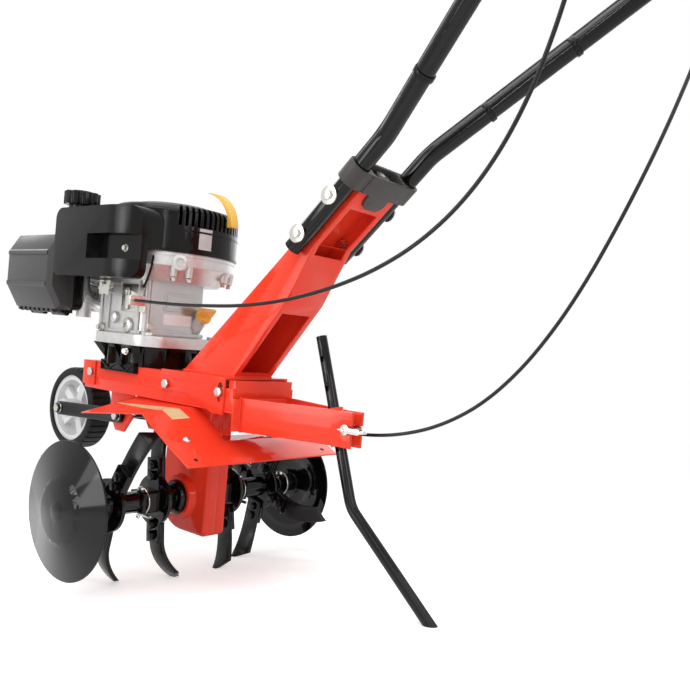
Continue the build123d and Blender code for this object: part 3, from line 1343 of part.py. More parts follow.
# Muffler: a rounded box on the right with its pipe to the cylinder.
with BuildPart() as muffler:
    muffler_x = (MUFFLER_FRONT + MUFFLER_REAR) / 2
    muffler_z = (MUFFLER_LOW + MUFFLER_HIGH) / 2
    with BuildSketch(upright(muffler_x, MUFFLER_RIGHT, muffler_z)):
        RectangleRounded(
            MUFFLER_REAR - MUFFLER_FRONT, MUFFLER_HIGH - MUFFLER_LOW, MUFFLER_ROUND
        )
    extrude(amount=MUFFLER_RIGHT - MUFFLER_LEFT)
    fillet(muffler.faces().sort_by(Axis.Y)[-1].edges(), MUFFLER_ROUND / 2)
    fillet(muffler.faces().sort_by(Axis.Y)[0].edges(), MUFFLER_ROUND / 2)
    with BuildSketch(upright(muffler_x, MUFFLER_LEFT, muffler_z)):
        Circle(EXHAUST_RADIUS)
    extrude(amount=MUFFLER_LEFT - CYLINDER_HALF)
muffler.part.label = "muffler"
export_step(muffler.part, "parts/muffler.step")

# Blower housing: a round cover over the flywheel with a grille round its back.
with BuildPart() as blower_housing:
    with BuildSketch(level(HOUSING_X, HOUSING_Y, HOUSING_LOW)):
        Circle(HOUSING_RADIUS)
    extrude(amount=HOUSING_TOP - HOUSING_LOW)
    housing_up = Axis(MACHINE.origin, MACHINE.z_dir)
    fillet(blower_housing.faces().sort_by(housing_up)[-1].edges(), HOUSING_ROUND)
    offset(amount=-HOUSING_WALL, openings=blower_housing.faces().sort_by(housing_up)[0])
    with BuildSketch(level(HOUSING_X, HOUSING_Y, HOUSING_TOP - GRILLE_HIGH)):
        with PolarLocations(HOUSING_RADIUS, GRILLE_SLOTS, GRILLE_START, GRILLE_SPAN, endpoint=True):
            Rectangle(2 * GRILLE_DEPTH, GRILLE_SLOT)
    extrude(amount=GRILLE_HIGH, mode=Mode.SUBTRACT)
blower_housing.part.label = "blower_housing"
export_step(blower_housing.part, "parts/blower_housing.step")

# Recoil grip: a curved pull that stands beside the housing and leans over it.
recoil_side = RECOIL_Y - RECOIL_WIDTH / 2 - HOUSING_Y
recoil_x = HOUSING_X + (HOUSING_RADIUS**2 - recoil_side**2) ** 0.5 + GAP
with BuildPart() as recoil_grip:
    with BuildSketch(upright(recoil_x, RECOIL_Y + RECOIL_WIDTH / 2, HOUSING_TOP)):
        with BuildLine():
            heel = (RECOIL_WIDTH, -RECOIL_DROP)
            ThreePointArc(heel, RECOIL_OUTER_MID, RECOIL_TIP)
            ThreePointArc(RECOIL_TIP, RECOIL_INNER_MID, (0, -RECOIL_CLEAR))
            Polyline((0, -RECOIL_CLEAR), (0, -RECOIL_DROP), heel)
        make_face()
    extrude(amount=RECOIL_WIDTH)
recoil_grip.part.label = "recoil_grip"
export_step(recoil_grip.part, "parts/recoil_grip.step")


# Fuel tank: a rounded vessel wrapped round the left of the housing, with a pocket and a neck.
def tank_body(inset):
    """The tank's form, drawn in by an inset: nothing for its outside, the wall for its inside."""
    front, rear = TANK_FRONT + inset, TANK_REAR - inset
    face, back = TANK_FACE + inset, TANK_BACK - inset
    turn_radius = TANK_TURN_RADIUS - inset
    turn_end = TANK_FACE + TANK_TURN_RADIUS - sqrt(turn_radius**2 - (rear - TANK_TURN) ** 2)
    with BuildPart() as body:
        with BuildSketch(level(0, 0, TANK_LOW + inset)):
            with BuildLine():
                Polyline((rear, turn_end), (rear, back), (front, back), (front, face), (TANK_TURN, face))
                TangentArc((TANK_TURN, face), (rear, turn_end), tangent=(1, 0))
            make_face()
        extrude(amount=TANK_HIGH - TANK_LOW - 2 * inset)
        with BuildSketch(upright((front + rear) / 2, back, (TANK_LOW + TANK_HIGH) / 2)):
            RectangleRounded(rear - front, TANK_HIGH - TANK_LOW - 2 * inset, TANK_ROUND - inset)
        extrude(amount=back - face, mode=Mode.INTERSECT)
        with BuildSketch(upright(POCKET_FRONT - inset, TANK_FACE, (POCKET_LOW + POCKET_HIGH) / 2)):
            Rectangle(
                TANK_REAR - TANK_FRONT,
                POCKET_HIGH - POCKET_LOW + 2 * inset,
                align=(Align.MIN, Align.CENTER),
            )
        extrude(amount=-POCKET_DEPTH - inset, mode=Mode.SUBTRACT)
        with BuildSketch(level(UNDERCUT_FRONT - inset, UNDERCUT_Y - inset, TANK_LOW)):
            Rectangle(
                TANK_REAR - UNDERCUT_FRONT + inset,
                TANK_BACK - UNDERCUT_Y + inset,
                align=(Align.MIN, Align.MIN),
            )
        extrude(amount=HOUSING_LOW + inset - TANK_LOW, mode=Mode.SUBTRACT)
        with BuildSketch(level(HOUSING_X, HOUSING_Y, TANK_LOW)):
            Circle(HOUSING_RADIUS + FIT + inset)
        extrude(amount=TANK_HIGH - TANK_LOW, mode=Mode.SUBTRACT)
    return body.part


tank_outside = tank_body(0)
tank_inside = tank_body(TANK_WALL)
with BuildPart() as fuel_tank:
    add(tank_outside)
    with BuildSketch(level(NECK_X, NECK_Y, TANK_HIGH - TANK_WALL)):
        Circle(NECK_RADIUS)
    extrude(amount=NECK_HIGH + TANK_WALL)
    add(tank_inside, mode=Mode.SUBTRACT)
    with BuildSketch(level(NECK_X, NECK_Y, TANK_HIGH - 2 * TANK_WALL)):
        Circle(NECK_RADIUS - TANK_WALL)
    extrude(amount=NECK_HIGH + 2 * TANK_WALL, mode=Mode.SUBTRACT)
fuel_tank.part.label = "fuel_tank"
export_step(fuel_tank.part, "parts/fuel_tank.step")

# Fuel cap: lobed, screwed over the neck.
with BuildPart() as fuel_cap:
    with BuildSketch(level(NECK_X, NECK_Y, TANK_HIGH + FUEL_CAP_LIFT)):
        Circle(FUEL_CAP_RADIUS)
        with PolarLocations(FUEL_CAP_RADIUS + FUEL_CAP_NOTCH / 4, FUEL_CAP_LOBES):
            Circle(FUEL_CAP_NOTCH, mode=Mode.SUBTRACT)
    extrude(amount=FUEL_CAP_HIGH)
    with BuildSketch(level(NECK_X, NECK_Y, TANK_HIGH + FUEL_CAP_LIFT)):
        Circle(NECK_RADIUS + GAP)
    extrude(amount=NECK_HIGH + GAP - FUEL_CAP_LIFT, mode=Mode.SUBTRACT)
fuel_cap.part.label = "fuel_cap"
export_step(fuel_cap.part, "parts/fuel_cap.step")

# Air filter: a base on the carburettor and a faceted cover hinged at its lower edge.
filter_x = (FILTER_FRONT + FILTER_REAR) / 2
filter_z = (FILTER_LOW + FILTER_HIGH) / 2
filter_length = FILTER_REAR - FILTER_FRONT
filter_high = FILTER_HIGH - FILTER_LOW
HINGE_Y = FILTER_SPLIT - GAP
HINGE_Z = FILTER_LOW - HINGE_RADIUS - GAP
hinge_web = HINGE_RADIUS + GAP + FILTER_WALL
lug_start = HINGE_LENGTH / 2 + GAP
with BuildPart() as air_filter_base:
    with BuildSketch(upright(filter_x, FILTER_BACK, filter_z)):
        RectangleRounded(filter_length, filter_high, FILTER_FACET)
    extrude(amount=FILTER_BACK - FILTER_SPLIT)
    for hinge_spot in HINGE_SPOTS:
        for lug_x in (hinge_spot - lug_start - HINGE_LUG, hinge_spot + lug_start):
            with BuildSketch(across(filter_x + lug_x, HINGE_Y, HINGE_Z)):
                Circle(HINGE_RADIUS)
                with Locations((FILTER_SPLIT - HINGE_Y, 0)):
                    Rectangle(2 * HINGE_RADIUS, hinge_web, align=(Align.MIN, Align.MIN))
            extrude(amount=HINGE_LUG)
        with BuildSketch(across(filter_x + hinge_spot, HINGE_Y, HINGE_Z)):
            Circle(HINGE_PIN)
        extrude(amount=lug_start, both=True)
air_filter_base.part.label = "air_filter_base"
export_step(air_filter_base.part, "parts/air_filter_base.step")

with BuildPart() as air_filter_cover:
    with BuildSketch(across(FILTER_FRONT, 0, 0)):
        with BuildLine():
            Polyline(
                (HINGE_Y, FILTER_LOW),
                (HINGE_Y, FILTER_HIGH),
                (FILTER_FACE + FILTER_TOP_SLANT[0], FILTER_HIGH),
                (FILTER_FACE, FILTER_HIGH - FILTER_TOP_SLANT[1]),
                (FILTER_FACE, FILTER_LOW + FILTER_FOOT_SLANT[1]),
                (FILTER_FACE + FILTER_FOOT_SLANT[0], FILTER_LOW),
                close=True,
            )
        make_face()
    extrude(amount=filter_length)
    cover_back = Axis(MACHINE.origin, MACHINE.x_dir)
    cover_ends = air_filter_cover.faces().sort_by(cover_back)
    end_edges = cover_ends[0].edges() + cover_ends[-1].edges()
    chamfer(end_edges.filter_by(lambda edge: edge.center().Y < HINGE_Y - GAP), FILTER_END_CHAMFER)
    offset(amount=-FILTER_WALL, openings=air_filter_cover.faces().sort_by(Axis.Y)[-1])
    for hinge_spot in HINGE_SPOTS:
        with BuildSketch(across(filter_x + hinge_spot, HINGE_Y, HINGE_Z)):
            Circle(HINGE_RADIUS)
            Rectangle(2 * HINGE_RADIUS, hinge_web, align=(Align.MAX, Align.MIN))
            Circle(HINGE_PIN + RUN, mode=Mode.SUBTRACT)
        extrude(amount=HINGE_LENGTH / 2, both=True)
air_filter_cover.part.label = "air_filter_cover"
export_step(air_filter_cover.part, "parts/air_filter_cover.step")

# Carburettor: body between the filter base and the cylinder, with its float bowl.
with BuildPart() as carburettor:
    carb_x = (CARB_FRONT + CARB_REAR) / 2
    carb_y = (FILTER_BACK - CYLINDER_HALF) / 2
    with BuildSketch(upright(carb_x, -CYLINDER_HALF, (CARB_LOW + CARB_HIGH) / 2)):
        RectangleRounded(CARB_REAR - CARB_FRONT, CARB_HIGH - CARB_LOW, BOWL_RADIUS / 3)
    extrude(amount=-CYLINDER_HALF - FILTER_BACK)
    with BuildSketch(level(carb_x, carb_y, CARB_LOW)):
        Circle((-CYLINDER_HALF - FILTER_BACK) / 2)
    extrude(amount=-BOWL_DROP)
carburettor.part.label = "carburettor"
export_step(carburettor.part, "parts/carburettor.step")

# Governor bracket on the block, with the throttle cable's clamp and the governor arm.
with BuildPart() as governor_bracket:
    bracket_z = (BRACKET_LOW + BRACKET_HIGH) / 2
    with BuildSketch(upright((BRACKET_FRONT + BRACKET_REAR) / 2, BLOCK_LEFT, bracket_z)):
        Rectangle(BRACKET_REAR - BRACKET_FRONT, BRACKET_HIGH - BRACKET_LOW)
    extrude(amount=SHEET)
    with BuildSketch(upright(BRACKET_REAR, BLOCK_LEFT - SHEET, THROTTLE_ROUTE[0][2])):
        Rectangle(CLAMP_LENGTH, CLAMP_HIGH, align=(Align.MAX, Align.CENTER))
    extrude(amount=CLAMP_REACH + BLOCK_LEFT - SHEET)
    with BuildSketch(upright(GOVERNOR_X, BLOCK_LEFT - SHEET, GOVERNOR_Z)):
        Circle(GOVERNOR_STUD_DIA / 2)
    extrude(amount=2 * SHEET)
governor_bracket.part.label = "governor_bracket"
export_step(governor_bracket.part, "parts/governor_bracket.step")

with BuildPart() as governor_arm:
    with BuildSketch(upright(GOVERNOR_X, BLOCK_LEFT - SHEET - GAP, GOVERNOR_Z)):
        Circle(GOVERNOR_STUD_DIA)
        with Locations((0, -GOVERNOR_LENGTH)):
            Circle(GOVERNOR_STUD_DIA / 2)
        make_hull()
        Circle(GOVERNOR_STUD_DIA / 2 + RUN, mode=Mode.SUBTRACT)
    extrude(amount=SHEET)
governor_arm.part.label = "governor_arm"
export_step(governor_arm.part, "parts/governor_arm.step")

# Transport wheel: bracket under the pan, fork arm, rim and tyre.
with BuildPart() as wheel_bracket:
    cheek_outer = ARM_INNER - SHEET / 3
    cheek_mid = (CHEEK_FRONT + CHEEK_REAR) / 2
    with BuildSketch(upright(0, CHEEK_THICK - cheek_outer, 0)):
        with BuildLine():
            Polyline(
                (CHEEK_FRONT, PAN_FLOOR),
                (CHEEK_FRONT, WHEEL_PIVOT_Z),
                (WHEEL_PIVOT_X - ARM_WIDTH / 2, CHEEK_LOW),
                (WHEEL_PIVOT_X + ARM_WIDTH / 2, CHEEK_LOW),
                (CHEEK_REAR, WHEEL_PIVOT_Z),
                (CHEEK_REAR, PAN_FLOOR),
                close=True,
            )
        make_face()
        with Locations((WHEEL_PIVOT_X, WHEEL_PIVOT_Z)):
            Circle(PIVOT_PIN_DIA / 2 + RUN, mode=Mode.SUBTRACT)
    extrude(amount=CHEEK_THICK)
    mirror(about=MID)
    with BuildSketch(level(cheek_mid, 0, PAN_FLOOR)):
        Rectangle(CHEEK_REAR - CHEEK_FRONT, 2 * cheek_outer)
    extrude(amount=-CHEEK_THICK)
wheel_bracket.part.label = "wheel_bracket"
export_step(wheel_bracket.part, "parts/wheel_bracket.step")

with BuildPart() as wheel_arm:
    with BuildSketch(upright(0, -ARM_INNER, 0)):
        with Locations((WHEEL_PIVOT_X, WHEEL_PIVOT_Z), (WHEEL_X, WHEEL_Z)):
            Circle(ARM_WIDTH / 2)
        make_hull()
    extrude(amount=ARM_THICK)
    mirror(about=MID)
    with BuildSketch(upright(WHEEL_PIVOT_X, 0, WHEEL_PIVOT_Z)):
        Circle(PIVOT_PIN_DIA / 2)
    extrude(amount=ARM_INNER, both=True)
    with BuildSketch(upright(WHEEL_X, 0, WHEEL_Z)):
        Circle(AXLE_PIN_DIA / 2)
    extrude(amount=ARM_INNER, both=True)
    with BuildSketch(upright(0, -ARM_INNER - ARM_THICK, 0)):
        with Locations((WHEEL_X, WHEEL_Z), (WHEEL_PIVOT_X, WHEEL_PIVOT_Z)):
            RegularPolygon(TUBE_BOLT_HEX, 6)
    extrude(amount=BOLT_HEAD)
wheel_arm.part.label = "wheel_arm"
export_step(wheel_arm.part, "parts/wheel_arm.step")

with BuildPart() as wheel_rim:
    with BuildSketch(upright(WHEEL_X, 0, WHEEL_Z)):
        Circle(RIM_RADIUS)
        Circle(RIM_RADIUS - RIM_WALL, mode=Mode.SUBTRACT)
    extrude(amount=RIM_HALF, both=True)
    with BuildSketch(upright(WHEEL_X, 0, WHEEL_Z)):
        with PolarLocations(RIM_RADIUS / 2, SPOKES):
            Rectangle(RIM_RADIUS - RIM_WALL, HUB_RADIUS)
    extrude(amount=SPOKE_HALF, both=True)
    with BuildSketch(upright(WHEEL_X, 0, WHEEL_Z)):
        Circle(HUB_RADIUS)
    extrude(amount=WHEEL_HUB_HALF, both=True)
    with BuildSketch(upright(WHEEL_X, 0, WHEEL_Z)):
        Circle(AXLE_PIN_DIA / 2 + RUN)
    extrude(amount=WHEEL_HUB_HALF, both=True, mode=Mode.SUBTRACT)
wheel_rim.part.label = "wheel_rim"
export_step(wheel_rim.part, "parts/wheel_rim.step")

with BuildPart() as wheel_tyre:
    with BuildSketch(upright(WHEEL_X, 0, WHEEL_Z)):
        Circle(TYRE_RADIUS)
        Circle(RIM_RADIUS + FIT, mode=Mode.SUBTRACT)
    extrude(amount=TYRE_HALF, both=True)
    tyre_edges = wheel_tyre.edges().filter_by(GeomType.CIRCLE).sort_by(SortBy.RADIUS)[-2:]
    fillet(tyre_edges, TYRE_RADIUS - RIM_RADIUS - 2 * TREAD_DEPTH)
    with BuildSketch(upright(WHEEL_X, 0, WHEEL_Z)):
        with PolarLocations(TYRE_RADIUS, TREAD_BLOCKS):
            Rectangle(2 * TREAD_DEPTH, TREAD_DEPTH)
    extrude(amount=TYRE_HALF, both=True, mode=Mode.SUBTRACT)
wheel_tyre.part.label = "wheel_tyre"
export_step(wheel_tyre.part, "parts/wheel_tyre.step")

# Frame bolts: nose bolts, tilt and slot bolts of the saddle, gearcase bolts and the hitch pin.
saddle_outside = FRAME_HALF + SHEET + 2 * GAP
with BuildPart() as frame_bolts:
    with BuildSketch(upright(0, -FRAME_HALF - SHEET, 0)):
        with Locations((FRAME_FRONT + NOSE_BOLT_BACK, TILT_Z)):
            RegularPolygon(BOLT_HEX, 6)
    extrude(amount=BOLT_HEAD)
    with BuildSketch(upright(0, -saddle_outside, 0)):
        with Locations((TILT_X, TILT_Z), (SLOT_X, TILT_Z)):
            RegularPolygon(BOLT_HEX, 6)
    extrude(amount=BOLT_HEAD)
    with BuildSketch(upright(0, -saddle_outside, 0)):
        with Locations((TILT_X, TILT_Z), (SLOT_X, TILT_Z)):
            Circle(BOLT_DIA / 2)
    extrude(amount=-(saddle_outside - FRAME_HALF + SHEET))
    with BuildSketch(upright(0, SHEET - FRAME_HALF, 0)):
        with Locations((TILT_X, TILT_Z), (SLOT_X, TILT_Z)):
            RegularPolygon(BOLT_HEX, 6)
    extrude(amount=-NUT_HIGH)
    with BuildSketch(upright(0, -CASE_HALF, 0)):
        with Locations(
            (CASE_FRONT + CASE_ROUND, PAN_FLOOR / 2),
            (CASE_REAR - 2 * CASE_ROUND, PAN_FLOOR - 3 * CASE_ROUND),
        ):
            RegularPolygon(BOLT_HEX, 6)
    extrude(amount=BOLT_HEAD)
    mirror(about=MID)
    hitch_x = DRAWBAR_LIP_END - LIP_SLOT_DEPTH + HITCH_PIN_DIA
    hitch_z = (DRAWBAR_LOW + DRAWBAR_HIGH) / 2
    hitch_end = socket_outer + FIT + WASHER_THICK + HITCH_PIN_DIA
    with BuildSketch(upright(hitch_x, 0, hitch_z)):
        Circle(HITCH_PIN_DIA / 2)
    extrude(amount=hitch_end, both=True)
    with BuildSketch(upright(hitch_x, -socket_outer - FIT, hitch_z)):
        Circle(HITCH_WASHER_DIA / 2)
    extrude(amount=WASHER_THICK)
    with BuildSketch(upright(hitch_x, socket_outer + FIT, hitch_z)):
        Circle(HITCH_WASHER_DIA / 2)
    extrude(amount=-WASHER_THICK)
    with BuildSketch(upright(hitch_x, -hitch_end + HITCH_PIN_DIA, hitch_z)):
        with Locations((CLIP_LENGTH / 2 - HITCH_PIN_DIA, 0)):
            SlotOverall(CLIP_LENGTH, 3 * CLIP_WIRE)
    extrude(amount=CLIP_WIRE)
frame_bolts.part.label = "frame_bolts"
export_step(frame_bolts.part, "parts/frame_bolts.step")


# Cables and the fuel hose: tubes along straight runs joined by arcs.
def bend_radii(points):
    """For each corner, the largest arc that 0.45 of its shorter run allows."""
    radii = []
    for before, corner, after in zip(points, points[1:], points[2:]):
        run_in = corner - before
        run_out = after - corner
        half_turn = radians(run_in.get_angle(run_out)) / 2
        radii.append(ROUTE_ROUNDING * min(run_in.length, run_out.length) / tan(half_turn))
    return radii


def cable_solid(points, radii, diameter):
    """A round tube along a route, with its volume set against section times length."""
    with BuildPart() as cable:
        with BuildLine() as route:
            FilletPolyline(*points, radius=radii)
        spine = route.wire()
        with BuildSketch(Plane(spine @ 0, z_dir=spine % 0)):
            Circle(diameter / 2)
        sweep(path=spine)
    section = pi * diameter**2 / 4
    print("length", round(spine.length, 1), "fill", cable.part.volume / section / spine.length)
    return cable.part


for cable_name, cable_points in (("throttle_cable", THROTTLE_ROUTE), ("clutch_cable", CLUTCH_ROUTE)):
    corners = [place(*point) for point in cable_points]
    corner_radii = bend_radii(corners)
    print(cable_name, "radii", [round(radius) for radius in corner_radii])
    cable_tube = cable_solid(corners, corner_radii, CABLE_DIA)
    with BuildPart() as control_cable:
        add(cable_tube)
    control_cable.part.label = cable_name
    export_step(control_cable.part, f"parts/{cable_name}.step")

hose_corners = [place(*point) for point in HOSE_ROUTE]
hose_radii = bend_radii(hose_corners)
print("fuel_hose radii", [round(radius) for radius in hose_radii])
hose_tube = cable_solid(hose_corners, hose_radii, HOSE_DIA)
with BuildPart() as fuel_hose:
    add(hose_tube)
fuel_hose.part.label = "fuel_hose"
export_step(fuel_hose.part, "parts/fuel_hose.step")

# Inner cables: clipped along the front of each handle tube, from the yoke cap to the levers.
cable_rise = TUBE_DIA / 2 + CABLE_DIA / 2 + FIT
lift_low = Vector(-RISE_Z, 0, RISE_X) * cable_rise
reach = Vector(REACH_BACK, REACH_OUT, REACH_UP)
lift_high = Vector(-REACH_UP, 0, REACH_BACK).normalized() * cable_rise
cap_exit = Vector(column_top_x + RISE_X * CAP_LENGTH, TUBE_Y, column_top_z + RISE_Z * CAP_LENGTH)
inner_start = cap_exit + lift_low + Vector(RISE_X, 0, RISE_Z) * FIT
inner_corner = Vector(TUBE_BEND_X, TUBE_Y, TUBE_BEND_Z) + lift_low
inner_end = Vector(TUBE_BEND_X, TUBE_Y, TUBE_BEND_Z) + reach * INNER_CABLE_SHARE + lift_high
inner_points = [place(*point) for point in (inner_start, inner_corner, inner_end)]
inner_tube = cable_solid(inner_points, bend_radii(inner_points), CABLE_DIA - 2 * FIT)
with BuildPart() as tube_cables:
    add(inner_tube)
    mirror(about=MID)
tube_cables.part.label = "tube_cables"
export_step(tube_cables.part, "parts/tube_cables.step")
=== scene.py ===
"""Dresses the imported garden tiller: cables, finishes, fasteners, welds and engine trim."""

from __future__ import annotations

import json
import logging
import math
from collections.abc import Sequence
from dataclasses import dataclass
from enum import Enum

import bmesh
import bpy
from mathutils import Matrix, Vector


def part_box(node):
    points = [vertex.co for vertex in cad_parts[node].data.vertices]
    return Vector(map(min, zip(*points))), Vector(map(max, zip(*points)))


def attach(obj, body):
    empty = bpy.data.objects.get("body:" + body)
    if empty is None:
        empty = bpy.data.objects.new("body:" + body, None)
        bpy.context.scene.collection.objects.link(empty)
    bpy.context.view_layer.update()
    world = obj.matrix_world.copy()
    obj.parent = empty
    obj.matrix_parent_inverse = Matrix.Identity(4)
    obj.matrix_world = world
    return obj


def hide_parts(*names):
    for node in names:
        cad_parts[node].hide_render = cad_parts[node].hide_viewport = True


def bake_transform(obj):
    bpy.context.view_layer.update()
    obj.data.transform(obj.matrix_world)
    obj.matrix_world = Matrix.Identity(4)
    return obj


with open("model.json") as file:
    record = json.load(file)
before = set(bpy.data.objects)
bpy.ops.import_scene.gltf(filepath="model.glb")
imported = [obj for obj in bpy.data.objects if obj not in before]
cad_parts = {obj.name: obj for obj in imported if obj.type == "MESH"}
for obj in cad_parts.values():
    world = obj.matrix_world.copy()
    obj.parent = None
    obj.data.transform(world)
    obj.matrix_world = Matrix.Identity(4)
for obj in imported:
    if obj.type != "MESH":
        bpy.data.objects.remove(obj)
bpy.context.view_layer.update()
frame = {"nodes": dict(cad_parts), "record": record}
LOG = logging.getLogger("tiller")
Point = tuple[float, float, float]
Pair = tuple[float, float]
MM = 0.001
ORIGIN = (0, 0, 0)
UPWARDS = (0, 0, 1)
DOWNWARDS = (0, 0, -1)
BACKWARDS = (1, 0, 0)
LEFTWARDS = (0, -1, 0)
RIGHTWARDS = (0, 1, 0)
SIDES = (-1, 1)
CREASE = 35.0
ON_AXIS = 1e-6
WHITE_LIGHT = (1.0, 1.0, 1.0, 1.0)


@dataclass(frozen=True)
class Stance:
    """How the machine's own frame, in millimetres from the tine axle, stands on the ground."""

    origin: Point = (-0.271582, 0.0, 0.124)
    nose_up: float = math.radians(6.0)

    def matrix(self) -> Matrix:
        """Gives the change from machine millimetres to standing metres."""
        lean = Matrix.Rotation(self.nose_up, 4, "Y")
        return Matrix.Translation(self.origin) @ lean @ Matrix.Scale(MM, 4)

    def point(self, place: Point) -> Vector:
        """Gives the standing place of a machine point."""
        return self.matrix() @ Vector(place)

    def turn(self, way: Point) -> Vector:
        """Gives the standing direction of a machine direction."""
        return (Matrix.Rotation(self.nose_up, 3, "Y") @ Vector(way)).normalized()


STANCE = Stance()


def link(name: str, data: bpy.types.ID) -> bpy.types.Object:
    """Makes an object and puts it in the scene.

    Args:
        name: the object's name.
        data: its mesh, curve, lamp or lens.

    Returns:
        The object.
    """
    thing = bpy.data.objects.new(name, data)
    bpy.context.scene.collection.objects.link(thing)
    return thing


def shade(data: bpy.types.Mesh, sharp: float) -> None:
    """Shades a mesh smooth between its sharp edges.

    Args:
        data: the mesh.
        sharp: edge angle in degrees past which shading breaks.
    """
    for polygon in data.polygons:
        polygon.use_smooth = True
    data.set_sharp_from_angle(angle=math.radians(sharp))


def between(a: Pair, b: Pair, share: float) -> Pair:
    """Gives the point at a share of the way from one point to another."""
    return a[0] + (b[0] - a[0]) * share, a[1] + (b[1] - a[1]) * share


def polar(centre: Pair, radius: float, angle: float) -> Pair:
    """Gives the point at a radius and an angle in radians round a centre."""
    return centre[0] + radius * math.cos(angle), centre[1] + radius * math.sin(angle)


def sweep(start: float, end: float, steps: int) -> list[float]:
    """Gives even angles in radians from one angle in degrees to another."""
    return [math.radians(start + (end - start) * i / steps) for i in range(steps + 1)]


def arc(centre: Point, radius: float, other: Point, start: float, end: float, steps: int) -> list[Vector]:
    """Gives points on an arc, whose nought degrees lie behind its centre.

    Args:
        centre: middle of the arc.
        radius: radius of the arc.
        other: direction of the radius at ninety degrees.
        start: first angle in degrees.
        end: last angle in degrees.
        steps: number of runs.

    Returns:
        The points.
    """
    a, b = Vector(BACKWARDS) * radius, Vector(other) * radius
    return [Vector(centre) + a * math.cos(t) + b * math.sin(t) for t in sweep(start, end, steps)]


def flow(knots: Sequence[Point], steps: int = 8) -> list[Vector]:
    """Gives a smooth line through some points.

    Args:
        knots: points that the line goes through.
        steps: number of runs between two of them.

    Returns:
        Points of the line.
    """
    spots = [Vector(knot) for knot in knots]
    spots = [2 * spots[0] - spots[1], *spots, 2 * spots[-1] - spots[-2]]
    line = []
    for a, b, c, d in zip(spots, spots[1:], spots[2:], spots[3:]):
        slope, bend, twist = c - a, 2 * a - 5 * b + 4 * c - d, 3 * b - a - 3 * c + d
        for i in range(steps):
            t = i / steps
            line.append(0.5 * (2 * b + slope * t + bend * t**2 + twist * t**3))
    line.append(spots[-2])
    return line


def coil(
    start: Point, end: Point, radius: float, turns: int, runs: int = 14, straight: float = 0.15
) -> list[Vector]:
    """Gives the line of a coil spring with straight ends.

    Args:
        start: first end.
        end: other end.
        radius: radius of the coil's middle line.
        turns: number of turns.
        runs: number of runs in a turn.
        straight: share of the length that each straight end takes.

    Returns:
        Points of the line.
    """
    a, b = Vector(start), Vector(end)
    way = (b - a).normalized()
    side = way.orthogonal().normalized()
    other = way.cross(side)
    line = [a]
    count = turns * runs
    for i in range(count + 1):
        t = i / count
        swing = math.tau * turns * t
        reach = (side * math.cos(swing) + other * math.sin(swing)) * radius
        line.append(a.lerp(b, straight + (1 - 2 * straight) * t) + reach)
    return [*line, b]


class Along(Enum):
    """The machine axis that a prism follows."""

    BACK = 0
    RIGHT = 1
    UP = 2


